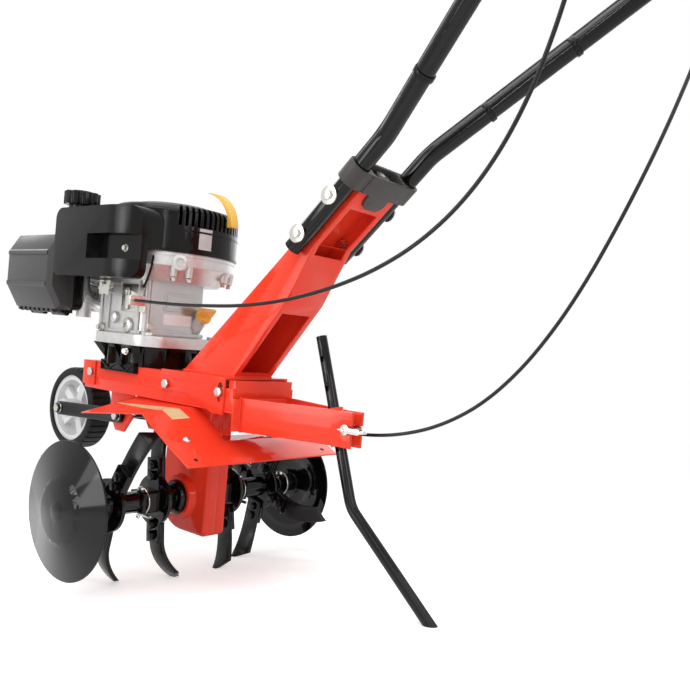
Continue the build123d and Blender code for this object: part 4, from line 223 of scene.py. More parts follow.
class Form:
    """A mesh in machine millimetres, put together from bevelled and turned shapes."""

    EDGE = math.radians(32)

    def __init__(self) -> None:
        """Starts with nothing in the mesh."""
        self.mesh = bmesh.new()

    def _take(self, part: bmesh.types.BMesh, bevel: float = 0.0, segments: int = 1) -> Form:
        """Bevels a shape's sharp edges and moves it into the form.

        Args:
            part: the shape, which is used up.
            bevel: width of the edge bevel, or nothing for sharp edges.
            segments: rows of faces in the bevel.

        Returns:
            The form itself.
        """
        bmesh.ops.recalc_face_normals(part, faces=part.faces)
        if bevel > 0:
            edges = [e for e in part.edges if len(e.link_faces) == 2 and e.calc_face_angle(0) > self.EDGE]
            bmesh.ops.bevel(
                part, geom=edges, offset=bevel, segments=segments, affect="EDGES", clamp_overlap=True
            )
        piece = bpy.data.meshes.new("shape")
        part.to_mesh(piece)
        part.free()
        self.mesh.from_mesh(piece)
        bpy.data.meshes.remove(piece)
        return self

    @staticmethod
    def _skin(part: bmesh.types.BMesh, rings: list[list[bmesh.types.BMVert]], closed: bool = False) -> None:
        """Joins neighbouring rings with faces.

        Args:
            part: the shape that the rings are in.
            rings: rings of one count, or of a single point on the axis.
            closed: whether the last ring joins the first.
        """
        sides = max(len(ring) for ring in rings)
        spans = list(zip(rings, rings[1:])) + ([(rings[-1], rings[0])] if closed else [])
        for low, high in spans:
            for i in range(sides):
                j = (i + 1) % sides
                corners = (low[i % len(low)], low[j % len(low)], high[j % len(high)], high[i % len(high)])
                face = list(dict.fromkeys(corners))
                if len(face) > 2:
                    part.faces.new(face)

    def block(self, low: Point, high: Point, bevel: float = 0.0, segments: int = 2) -> Form:
        """Adds a box between two corners.

        Args:
            low: lowest corner.
            high: highest corner.
            bevel: width of the edge bevel.
            segments: rows of faces in the bevel.

        Returns:
            The form itself.
        """
        outline = [(low[0], low[1]), (high[0], low[1]), (high[0], high[1]), (low[0], high[1])]
        return self.prism(outline, Along.UP, (low[2], high[2]), bevel, segments)

    def prism(
        self, outline: Sequence[Pair], along: Along, reach: Pair, bevel: float = 0.0, segments: int = 2
    ) -> Form:
        """Adds an outline drawn out along an axis.

        Args:
            outline: corners in the two other axes, in the order back, right, up.
            along: axis that the outline is drawn along.
            reach: where the prism starts and ends on that axis.
            bevel: width of the edge bevel.
            segments: rows of faces in the bevel.

        Returns:
            The form itself.
        """
        part = bmesh.new()
        at = along.value
        rings = [[part.verts.new((*spot[:at], end, *spot[at:])) for spot in outline] for end in reach]
        part.faces.new(rings[0])
        part.faces.new(rings[1])
        self._skin(part, rings)
        return self._take(part, bevel, segments)

    def turned(
        self, profile: Sequence[Pair], centre: Point = ORIGIN, way: Point = UPWARDS, sides: int = 48
    ) -> Form:
        """Adds a turned shape whose profile starts and ends on its axis or closes on itself.

        Args:
            profile: radius and height of each ring.
            centre: foot of the axis.
            way: direction of the axis.
            sides: number of faces round the axis.

        Returns:
            The form itself.
        """
        part = bmesh.new()
        spin = Vector(way).to_track_quat("Z", "Y")
        rings = []
        for radius, height in profile:
            count = 1 if radius < ON_AXIS else sides
            spots = [Vector((*polar((0, 0), radius, math.tau * i / count), height)) for i in range(count)]
            rings.append([part.verts.new(Vector(centre) + spin @ spot) for spot in spots])
        self._skin(part, rings, len(rings[0]) > 1 and len(rings[-1]) > 1)
        return self._take(part)

    def tube(self, path: Sequence[Vector], radius: float, sides: int = 12, closed: bool = False) -> Form:
        """Adds a round wire along a path.

        Args:
            path: points of the middle line.
            radius: half the wire's thickness.
            sides: number of faces round the wire.
            closed: whether the end joins the start.

        Returns:
            The form itself.
        """
        part = bmesh.new()
        count = len(path)
        turns = [math.tau * k / sides for k in range(sides)]
        normal = None
        rings = []
        for i, spot in enumerate(path):
            ahead = path[(i + 1) % count] if closed or i + 1 < count else spot
            behind = path[i - 1] if closed or i else spot
            way = (ahead - behind).normalized()
            if normal is None:
                normal = way.orthogonal().normalized()
            normal = (normal - way * normal.dot(way)).normalized()
            side = way.cross(normal)
            reaches = [(normal * math.cos(t) + side * math.sin(t)) * radius for t in turns]
            rings.append([part.verts.new(spot + reach) for reach in reaches])
        self._skin(part, rings, closed)
        if not closed:
            part.faces.new(rings[0])
            part.faces.new(rings[-1])
        return self._take(part)

    def sheet(self, rows: Sequence[Sequence[Point]], thick: float) -> Form:
        """Adds a thin sheet over a grid of points.

        Args:
            rows: the grid, row by row.
            thick: thickness of the sheet.

        Returns:
            The form itself.
        """
        part = bmesh.new()
        grid = [[part.verts.new(spot) for spot in row] for row in rows]
        for low, high in zip(grid, grid[1:]):
            for i in range(len(low) - 1):
                part.faces.new((low[i], low[i + 1], high[i + 1], high[i]))
        bmesh.ops.solidify(part, geom=part.faces[:], thickness=thick)
        return self._take(part)

    def shell(
        self, centre: Pair, radii: Pair, angles: Pair, heights: Pair, bevel: float = 0.0, steps: int = 24
    ) -> Form:
        """Adds an upright curved wall.

        Args:
            centre: axis of the wall.
            radii: inner and outer radius.
            angles: first and last angle in degrees.
            heights: lower and upper end.
            bevel: width of the edge bevel.
            steps: number of flats along the wall.

        Returns:
            The form itself.
        """
        turns = sweep(*angles, steps)
        inner, outer = ([polar(centre, radius, t) for t in turns] for radius in radii)
        return self.prism(inner + outer[::-1], Along.UP, heights, bevel)

    def piece(self, name: str, sharp: float = CREASE, placed: bool = True) -> bpy.types.Object:
        """Makes the form an object.

        Args:
            name: the object's name.
            sharp: edge angle in degrees past which shading breaks.
            placed: whether it stands in the machine, or stays round the origin as a pattern.

        Returns:
            The object, at the origin.
        """
        data = bpy.data.meshes.new(name)
        self.mesh.to_mesh(data)
        self.mesh.free()
        data.transform(STANCE.matrix() if placed else Matrix.Scale(MM, 4))
        shade(data, sharp)
        return link(name, data)

    def dressed(self, name: str, finish: Finish, body: str, slot: str) -> bpy.types.Object:
        """Makes the form an object with its finish, on the body it rides on."""
        return dress(self.piece(name), finish, body)


class Value:
    """A shader socket that can be worked with as a number."""

    def __init__(self, graph: Graph, socket: bpy.types.NodeSocket) -> None:
        """Keeps the graph and the output socket."""
        self.graph = graph
        self.socket = socket

    def _math(self, operation: str, a: Value | float, b: Value | float) -> Value:
        """Adds a Math node for an operation on two numbers."""
        return self.graph.node("ShaderNodeMath", {"operation": operation}, {0: a, 1: b})

    def __add__(self, other: Value | float) -> Value:
        """Adds."""
        return self._math("ADD", self, other)

    __radd__ = __add__

    def __sub__(self, other: Value | float) -> Value:
        """Takes the other away."""
        return self._math("SUBTRACT", self, other)

    def __rsub__(self, other: float) -> Value:
        """Takes this away from the other."""
        return self._math("SUBTRACT", other, self)

    def __mul__(self, other: Value | float) -> Value:
        """Multiplies."""
        return self._math("MULTIPLY", self, other)

    __rmul__ = __mul__

    def most(self, other: Value | float) -> Value:
        """Gives the greater of the two."""
        return self._math("MAXIMUM", self, other)


class Graph:
    """The node tree of one material, or of the world."""

    NOISE_ROUGHNESS = 0.55
    MIX_FACTOR, MIX_A, MIX_B, MIX_COLOUR = 0, 6, 7, 2

    def __init__(self, owner: bpy.types.Material | bpy.types.World, output: str) -> None:
        """Starts a node tree with only its output.

        Args:
            owner: the material or world.
            output: type of its output node.
        """
        owner.use_nodes = True
        self.owner = owner
        self.tree = owner.node_tree
        self.tree.nodes.clear()
        self.output = self.tree.nodes.new(output)

    @classmethod
    def of_material(cls, name: str) -> Graph:
        """Starts the node tree of a new material."""
        return cls(bpy.data.materials.new(name), "ShaderNodeOutputMaterial")

    @classmethod
    def of_world(cls, name: str) -> Graph:
        """Starts the node tree of a new world."""
        return cls(bpy.data.worlds.new(name), "ShaderNodeOutputWorld")

    def finish(self, shader: Value) -> None:
        """Joins the last shader to the output."""
        self.tree.links.new(shader.socket, self.output.inputs["Surface"])

    def seen(self) -> Value:
        """Tells rays from the camera, straight, mirrored or through something clear.

        Returns:
            One for those rays and nought for others.
        """
        straight, mirrored, clear = (
            self.node("ShaderNodeLightPath", {}, {}, f"Is {kind} Ray")
            for kind in ("Camera", "Glossy", "Transmission")
        )
        return straight.most(mirrored).most(clear)

    def node(
        self, kind: str, settings: dict[str, object], sockets: dict[str | int, object], output: str | int = 0
    ) -> Value:
        """Adds a node.

        Args:
            kind: the node's type.
            settings: its properties, set first.
            sockets: values or links of its inputs.
            output: which output to give back.

        Returns:
            The output as a value.
        """
        made = self.tree.nodes.new(kind)
        for key, setting in settings.items():
            setattr(made, key, setting)
        for key, given in sockets.items():
            if isinstance(given, Value):
                self.tree.links.new(given.socket, made.inputs[key])
            else:
                made.inputs[key].default_value = given
        return Value(self, made.outputs[output])

    def place(self) -> Value:
        """Gives the Object coordinates."""
        return self.node("ShaderNodeTexCoord", {}, {}, "Object")

    def noise(self, scale: float, detail: float) -> Value:
        """Gives a noise pattern over the object.

        Args:
            scale: fineness of the pattern per metre.
            detail: number of octaves.

        Returns:
            The noise, from nought to one.
        """
        sockets = {"Scale": scale, "Detail": detail, "Roughness": self.NOISE_ROUGHNESS}
        return self.node("ShaderNodeTexNoise", {}, {"Vector": self.place(), **sockets})

    def blend(self, factor: Value | float, a: object, b: object) -> Value:
        """Mixes two colours.

        Args:
            factor: share of the second.
            a: first colour or value.
            b: second colour or value.

        Returns:
            The mixed colour.
        """
        sockets = {self.MIX_FACTOR: factor, self.MIX_A: a, self.MIX_B: b}
        return self.node("ShaderNodeMix", {"data_type": "RGBA"}, sockets, self.MIX_COLOUR)

    def bump(self, height: Value, strength: float, distance: float) -> Value:
        """Gives a bumped normal.

        Args:
            height: pattern that raises the surface.
            strength: share of the effect.
            distance: height of a full step in metres.

        Returns:
            The normal.
        """
        sockets = {"Height": height, "Strength": strength, "Distance": distance}
        return self.node("ShaderNodeBump", {}, sockets)

    def surface(self, sockets: dict[str | int, object]) -> bpy.types.Material:
        """Closes the tree with a principled surface.

        Args:
            sockets: values or links of the surface.

        Returns:
            The material.
        """
        self.finish(self.node("ShaderNodeBsdfPrincipled", {}, sockets))
        return self.owner


@dataclass(frozen=True)
class Relief:
    """Fine relief of a surface, with the broad pattern that varies its colour and gloss.

    Each pattern is a noise, given by its fineness per metre and its octaves.
    """

    fine: Pair
    strength: float
    height: float
    broad: Pair = (14.0, 3.0)
    lumps: Pair | None = None
    lump_share: float = 0.8

    def normal(self, graph: Graph) -> Value:
        """Gives the bumped normal.

        Args:
            graph: material under construction.

        Returns:
            The normal.
        """
        pattern = graph.noise(*self.fine)
        if self.lumps:
            pattern = pattern + self.lump_share * graph.noise(*self.lumps)
        return graph.bump(pattern, self.strength, self.height)


class Grain(Enum):
    """The kinds of fine relief that the finishes have."""

    PAINT = Relief((160.0, 1.0), 0.006, 0.0003)
    MOULDED = Relief((1500.0, 2.0), 0.10, 0.0004)
    CAST = Relief((700.0, 4.0), 0.30, 0.0006, (90.0, 4.0), (160.0, 2.0))
    PLATED = Relief((900.0, 3.0), 0.10, 0.0003, (240.0, 3.0))
    RUBBER = Relief((1100.0, 3.0), 0.24, 0.0005, (60.0, 3.0))
    SMOOTH = Relief((200.0, 1.0), 0.02, 0.0002)


@dataclass(frozen=True)
class Finish:
    """One finish of the machine."""

    name: str
    colour: Point
    grain: Grain
    roughness: float
    metallic: float = 0.0
    tone: float = 0.12
    specular: float = 0.5
    warm: Point = (1.0, 1.0, 1.0)
    specks: Pair = (46.0, 5.0)
    broad_share: float = 0.6
    gloss_spread: float = 0.35

    def material(self) -> bpy.types.Material:
        """Gives the finish's material, built the first time."""
        return bpy.data.materials.get(self.name) or self._build()

    def _build(self) -> bpy.types.Material:
        """Builds the node tree.

        Returns:
            The material.
        """
        graph = Graph.of_material(self.name)
        relief = self.grain.value
        broad = graph.noise(*relief.broad)
        dark = tuple(c * (1 - self.tone) for c in self.colour)
        light = tuple(min(1.0, c * (1 + self.tone) * w) for c, w in zip(self.colour, self.warm))
        share = self.broad_share * broad + (1 - self.broad_share) * graph.noise(*self.specks)
        return graph.surface(
            {
                "Base Color": graph.blend(share, (*dark, 1.0), (*light, 1.0)),
                "Roughness": self.roughness + (broad - 0.5) * (self.gloss_spread * self.roughness),
                "Metallic": self.metallic,
                "Specular IOR Level": self.specular,
                "Normal": relief.normal(graph),
            }
        )


class Paint:
    """The machine's finishes by what they cover."""

    ORANGE = Finish(
        "red_enamel", (0.85, 0.046, 0.020), Grain.PAINT, 0.12, tone=0.05, specular=0.20, warm=(1, 1.2, 1.2)
    )
    BLACK = Finish("black_enamel", (0.003, 0.003, 0.0033), Grain.PAINT, 0.08, tone=0.25, specular=0.26)
    TINE = Finish("tine_black", (0.006, 0.006, 0.006), Grain.CAST, 0.22, tone=0.3, specular=0.24)
    ZINC = Finish("zinc_plate", (0.62, 0.62, 0.60), Grain.PLATED, 0.28, 1.0, 0.14, warm=(1, 0.98, 0.9))
    STEEL = Finish("plain_steel", (0.40, 0.40, 0.41), Grain.PLATED, 0.30, 1.0, 0.15)
    BRONZE = Finish("gear_bronze", (0.52, 0.34, 0.12), Grain.CAST, 0.40, 1.0)
    IRON = Finish("cast_grey", (0.12, 0.12, 0.13), Grain.CAST, 0.55, 0.7, 0.2)
    ALLOY = Finish("cast_alloy", (0.58, 0.58, 0.575), Grain.CAST, 0.34, 0.55, 0.30, warm=(1, 0.99, 0.98))
    MILLED = Finish("milled_alloy", (0.50, 0.485, 0.48), Grain.SMOOTH, 0.24, 0.65, 0.24)
    SHELL = Finish("shell_black", (0.006, 0.0053, 0.0051), Grain.MOULDED, 0.14, tone=0.2, specular=0.18)
    YOKE = Finish("yoke_brown", (0.050, 0.045, 0.043), Grain.MOULDED, 0.48, tone=0.15, specular=0.3)
    COVER = Finish("cover_grey", (0.058, 0.057, 0.057), Grain.MOULDED, 0.32, specular=0.3)
    RUBBER = Finish("soft_rubber", (0.008, 0.008, 0.008), Grain.RUBBER, 0.52, tone=0.2, specular=0.2)
    CABLE = Finish("cable_jacket", (0.012, 0.011, 0.011), Grain.MOULDED, 0.28, tone=0.15, specular=0.25)
    TYRE = Finish("tyre_rubber", (0.010, 0.010, 0.010), Grain.RUBBER, 0.60, tone=0.25, specular=0.22)
    WHITE = Finish("rim_white", (0.74, 0.75, 0.75), Grain.MOULDED, 0.42, tone=0.04)
    YELLOW = Finish("pull_yellow", (0.86, 0.50, 0.08), Grain.MOULDED, 0.36, tone=0.08)
    LABEL = Finish("blank_label", (0.90, 0.90, 0.89), Grain.SMOOTH, 0.45, tone=0.03)
    STRIP = Finish("blank_strip", (0.94, 0.86, 0.50), Grain.SMOOTH, 0.40, tone=0.04)
    MUFFLER = Finish("heat_grey", (0.16, 0.15, 0.15), Grain.CAST, 0.5, 0.85, 0.25)
    HOSE = Finish("hose_grey", (0.055, 0.055, 0.055), Grain.MOULDED, 0.34, tone=0.15)


def dress(thing: bpy.types.Object, finish: Finish, body: str | None) -> bpy.types.Object:
    """Gives a piece its finish and the body it rides on.

    Args:
        thing: the piece.
        finish: its finish.
        body: the body it rides on, or nothing for a piece that runs between two and is left on no body.

    Returns:
        The piece.
    """
    thing.data.materials.clear()
    thing.data.materials.append(finish.material())
    if body:
        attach(thing, body)
    LOG.info("%s in %s", thing.name, finish.name)
    return thing


@dataclass(frozen=True)
class Viewpoint:
    """Where the photograph was taken from, in the machine's frame."""

    eye: Point = (979.5, -831.2, 275.8)
    right: Point = (0.7789, 0.6209, 0.0878)
    down: Point = (0.0805, 0.0398, -0.9961)
    focal: float = 766.5
    middle: Pair = (356.1, 355.8)
    image: float = 690.0
    sensor: float = 36.0
    nearest: float = 0.02

    def build(self) -> None:
        """Makes the camera."""
        lens = bpy.data.cameras.new("viewpoint")
        camera = link("viewpoint", lens)
        x = STANCE.turn(self.right)
        y = -STANCE.turn(self.down)
        z = x.cross(y).normalized()
        turn = Matrix((x, z.cross(x), z)).transposed().to_4x4()
        camera.matrix_world = Matrix.Translation(STANCE.point(self.eye)) @ turn
        lens.sensor_width = self.sensor
        lens.lens = self.focal / self.image * self.sensor
        lens.shift_x = (self.image / 2 - self.middle[0]) / self.image
        lens.shift_y = (self.middle[1] - self.image / 2) / self.image
        lens.clip_start = self.nearest
        bpy.context.scene.camera = camera


@dataclass(frozen=True)
class Softbox:
    """One studio lamp."""

    name: str
    place: Point
    aim: Point
    size: Pair
    watts: float

    def build(self) -> None:
        """Makes the lamp."""
        data = bpy.data.lights.new(self.name, "AREA")
        data.shape = "RECTANGLE"
        data.size, data.size_y = self.size
        data.energy = self.watts
        way = Vector(self.aim) - Vector(self.place)
        turn = way.to_track_quat("-Z", "Y").to_matrix().to_4x4()
        link(self.name, data).matrix_world = Matrix.Translation(self.place) @ turn


@dataclass(frozen=True)
class Studio:
    """White floor, white surround and soft lamps."""

    floor_half: float = 9.0
    floor_drop: float = 0.0006
    floor_colour: tuple[float, ...] = (0.82, 0.82, 0.82, 1.0)
    floor_lift: float = 0.50
    shadow_reach: float = 0.9
    white_reach: float = 1.9
    surround: float = 0.40
    lamps: tuple[Softbox, ...] = (
        Softbox("overhead", (0.1, -0.2, 2.3), (0.0, 0.0, 0.3), (2.0, 1.4), 24.0),
        Softbox("left_bank", (-0.9, -2.2, 1.3), (-0.2, 0.0, 0.4), (1.2, 1.5), 16.0),
        Softbox("rear_bank", (2.3, -0.2, 1.3), (0.1, 0.0, 0.4), (1.0, 1.4), 14.0),
        Softbox("far_bank", (-0.8, 2.2, 1.2), (-0.1, 0.0, 0.4), (1.6, 1.6), 9.0),
        Softbox("high_strip", (0.3, -1.1, 1.9), (0.0, 0.0, 0.4), (1.8, 0.14), 7.0),
        Softbox("side_strip", (1.2, -1.9, 1.1), (0.0, 0.0, 0.4), (0.14, 1.5), 6.0),
        Softbox("nose_strip", (-1.9, 0.2, 1.5), (-0.2, 0.0, 0.4), (1.0, 0.40), 4.0),
        Softbox("low_strip", (-0.85, -2.1, 0.6), (0.0, 0.0, 0.5), (0.45, 1.1), 7.0),
    )

    def build(self) -> None:
        """Makes the floor, the world and the lamps."""
        scene = bpy.context.scene
        scene.view_settings.view_transform = "Standard"
        self._floor()
        self._world(scene)
        for lamp in self.lamps:
            lamp.build()

    def _floor(self) -> None:
        """Makes the pale floor, which shows white to the camera but keeps the shadow."""
        half = self.floor_half
        data = bpy.data.meshes.new("floor")
        corners = [(-half, -half, 0), (half, -half, 0), (half, half, 0), (-half, half, 0)]
        data.from_pydata(corners, [], [(0, 1, 2, 3)])
        floor = link("floor", data)
        graph = Graph.of_material("floor_white")
        reach = graph.node("ShaderNodeVectorMath", {"operation": "LENGTH"}, {0: graph.place()}, "Value")
        fade = graph.node("ShaderNodeMapRange", {}, {0: reach, 1: self.shadow_reach, 2: self.white_reach})
        lift = graph.node("ShaderNodeEmission", {}, {"Color": WHITE_LIGHT, "Strength": self.floor_lift})
        white = graph.node("ShaderNodeEmission", {}, {"Color": WHITE_LIGHT, "Strength": 1.0})
        matt = graph.node("ShaderNodeBsdfDiffuse", {}, {"Color": self.floor_colour})
        near = graph.node("ShaderNodeAddShader", {}, {0: lift, 1: matt})
        shown = graph.node("ShaderNodeMixShader", {}, {0: fade, 1: near, 2: white})
        graph.finish(graph.node("ShaderNodeMixShader", {}, {0: graph.seen(), 1: matt, 2: shown}))
        data.materials.append(graph.owner)
        floor.location.z = -self.floor_drop

    def _world(self, scene: bpy.types.Scene) -> None:
        """Makes the white surround.

        Args:
            scene: the scene that gets it.
        """
        graph = Graph.of_world("surround")
        light = graph.node("ShaderNodeBackground", {}, {"Color": WHITE_LIGHT, "Strength": self.surround})
        white = graph.node("ShaderNodeBackground", {}, {"Color": WHITE_LIGHT, "Strength": 1.0})
        graph.finish(graph.node("ShaderNodeMixShader", {}, {0: graph.seen(), 1: light, 2: white}))
        scene.world = graph.owner


@dataclass(frozen=True)
class ControlCable:
    """A control cable that hangs free between the machine and its handle."""

    name: str
    route: tuple[Point, ...]
    length: float
    blend_start: Point
    blend_end: Point
    diameter: float = 5.0
    fineness: int = 10
    sides: int = 16

    def _middle(self) -> list[Vector]:
        """Gives the smooth line of the route.

        Returns:
            Close points on the line, in standing metres.
        """
        data = bpy.data.curves.new("route", "CURVE")
        data.dimensions = "3D"
        data.resolution_u = self.fineness
        spline = data.splines.new("NURBS")
        spline.points.add(len(self.route) - 1)
        for point, place in zip(spline.points, self.route):
            point.co = (*STANCE.point(place), 1.0)
        spline.order_u = 3
        spline.use_endpoint_u = True
        guide = link("route", data)
        bpy.context.view_layer.update()
        line = bpy.data.meshes.new_from_object(guide)
        spots = [vertex.co.copy() for vertex in line.vertices]
        bpy.data.objects.remove(guide)
        bpy.data.curves.remove(data)
        bpy.data.meshes.remove(line)
        return spots

    def build(self) -> None:
        """Makes the cable as a fixed tube along its route."""
        spots = self._middle()
        back = STANCE.matrix().inverted()
        wire = Form().tube([back @ spot for spot in spots], self.diameter / 2, self.sides)
        tube = wire.piece(f"{self.name}_jacket")
        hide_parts(self.name)
        dress(tube, Paint.CABLE, None)
        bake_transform(tube)


CABLES = (
    ControlCable(
        "throttle_cable",
        (
            (-70.6, -90, 310), (-10, -93, 308), (54, -95, 307), (118, -98, 308), (182, -102, 310),
            (246, -107, 316), (309, -111, 326), (371, -114, 341), (431, -116, 362), (488, -117, 392),
            (538, -118, 432), (578, -119, 481), (609, -121, 537), (633, -126, 596), (653, -134, 656),
            (676, -150, 706), (697, -169, 744), (706, -178, 778),
        ),
        length=1.0319,
        blend_start=(-70.6, -90, 310),
        blend_end=(700, -176, 770),
    ),
    ControlCable(
        "clutch_cable",
        (
            (151.5, 55, 160), (203, 51, 150), (262, 36, 144), (322, 28, 144), (383, 31, 153),
            (441, 38, 173), (495, 48, 208), (540, 60, 258), (576, 70, 314), (605, 80, 372),
            (629, 91, 432), (650, 103, 492), (668, 117, 552), (683, 131, 611), (695, 146, 669),
            (703, 162, 727), (706, 178, 778),
        ),
        length=0.9948,
        blend_start=(151.5, 55, 160),
        blend_end=(704, 175, 770),
    ),
)


@dataclass(frozen=True)
class Coat:
    """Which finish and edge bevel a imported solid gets."""

    node: str
    finish: Finish
    bevel: float = 0.6
    segments: int = 2
    sharp: float = 40.0
    same_point: float = 2e-6
    flat: float = math.radians(0.6)
    edge: float = math.radians(38)

    def copy(self) -> bpy.types.Object:
        """Copies the solid with merged corners and a fine bevel.

        Returns:
            The copy, in the solid's place.
        """
        name = f"{self.node}_finish"
        shape = bmesh.new()
        shape.from_mesh(frame["nodes"][self.node].data)
        bmesh.ops.remove_doubles(shape, verts=shape.verts, dist=self.same_point)
        bmesh.ops.dissolve_limit(shape, angle_limit=self.flat, verts=shape.verts, edges=shape.edges)
        data = bpy.data.meshes.new(name)
        shape.to_mesh(data)
        shape.free()
        shade(data, self.sharp)
        thing = link(name, data)
        if self.bevel > 0:
            self._bevel(thing)
        return thing

    def _bevel(self, thing: bpy.types.Object) -> None:
        """Bevels the edges of a copy.

        Args:
            thing: the copy.
        """
        edge = thing.modifiers.new("edge", "BEVEL")
        edge.width = self.bevel * MM
        edge.segments = self.segments
        edge.limit_method = "ANGLE"
        edge.angle_limit = self.edge
        edge.use_clamp_overlap = True
        bpy.context.view_layer.update()
        graph = bpy.context.evaluated_depsgraph_get()
        made = bpy.data.meshes.new_from_object(thing.evaluated_get(graph))
        thing.modifiers.clear()
        thing.data = made
        shade(made, self.sharp)


COATS = (
    Coat("frame_rails", Paint.ORANGE, 0.8),
    Coat("belt_pan", Paint.ORANGE, 0.8),
    Coat("drawbar", Paint.ORANGE, 0.9),
    Coat("tine_shield", Paint.ORANGE, 0.5),
    Coat("gearcase_left", Paint.ORANGE, 1.2),
    Coat("gearcase_right", Paint.ORANGE, 1.2),
    Coat("column", Paint.ORANGE, 0.9),
    Coat("wheel_bracket", Paint.ORANGE, 0.8),
    Coat("wheel_arm", Paint.BLACK, 0.9),
    Coat("axle_bushes", Paint.BLACK, 0.8),
    Coat("tine_axle", Paint.STEEL, 0.5),
    Coat("inner_hubs", Paint.BLACK, 0.7),
    Coat("outer_hubs", Paint.BLACK, 0.7),
    Coat("inner_tines_left", Paint.TINE, 0.8),
    Coat("inner_tines_right", Paint.TINE, 0.8),
    Coat("outer_tines_left", Paint.TINE, 0.8),
    Coat("outer_tines_right", Paint.TINE, 0.8),
    Coat("side_disc_left", Paint.BLACK, 0.6),
    Coat("side_disc_right", Paint.BLACK, 0.6),
    Coat("tine_bolts", Paint.TINE, 0.5),
    Coat("frame_bolts", Paint.ZINC, 0.5),
    Coat("handle_bolts", Paint.ZINC, 0.5),
    Coat("engine_bolts", Paint.ZINC, 0.5),
    Coat("hub_pins", Paint.ZINC, 0.3),
    Coat("handle_tube_left", Paint.BLACK, 0.4),
    Coat("handle_tube_right", Paint.BLACK, 0.4),
    Coat("clutch_lever", Paint.BLACK, 0.8),
    Coat("throttle_lever", Paint.BLACK, 0.8),
    Coat("stake", Paint.BLACK, 0.5),
    Coat("yoke_cap", Paint.YOKE, 1.2, 3),
    Coat("engine_adapter", Paint.SHELL, 0.8),
    Coat("crankcase", Paint.ALLOY, 1.6, 3),
    Coat("cylinder", Paint.ALLOY, 0.7),
    Coat("carburettor", Paint.ALLOY, 1.0),
    Coat("governor_bracket", Paint.ZINC, 0.5),
    Coat("governor_arm", Paint.ZINC, 0.4),
    Coat("muffler", Paint.MUFFLER, 0.6),
    Coat("blower_housing", Paint.SHELL, 0.7),
    Coat("fuel_tank", Paint.SHELL, 7.0, 5),
    Coat("fuel_cap", Paint.SHELL, 1.6, 3),
    Coat("air_filter_base", Paint.SHELL, 1.2),
    Coat("air_filter_cover", Paint.COVER, 1.2, 3),
    Coat("spark_plug", Paint.RUBBER, 0.8),
    Coat("fuel_hose", Paint.HOSE, 0.0),
    Coat("tube_cables", Paint.CABLE, 0.0),
    Coat("wheel_rim", Paint.WHITE, 0.9),
    Coat("wheel_tyre", Paint.TYRE, 0.6),
    Coat("recoil_grip", Paint.YELLOW, 2.5, 3),
    Coat("dipstick", Paint.YELLOW, 1.2, 3),
    Coat("worm_wheel", Paint.BRONZE, 0.4),
    Coat("worm_shaft", Paint.STEEL, 0.4),
    Coat("driven_pulley", Paint.STEEL, 0.4),
    Coat("drive_pulley", Paint.STEEL, 0.4),
    Coat("drive_belt", Paint.RUBBER, 0.4),
    Coat("idler", Paint.SHELL, 0.4),
    Coat("crankshaft", Paint.STEEL, 0.4),
    Coat("flywheel", Paint.IRON, 0.6),
)


def coat_solids() -> None:
    """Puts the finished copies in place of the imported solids."""
    body_of = {n: b for b, nodes in frame["record"]["behaviour"]["bodies"].items() for n in nodes}
    for coat in COATS:
        thing = coat.copy()
        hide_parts(coat.node)
        dress(thing, coat.finish, body_of[coat.node])


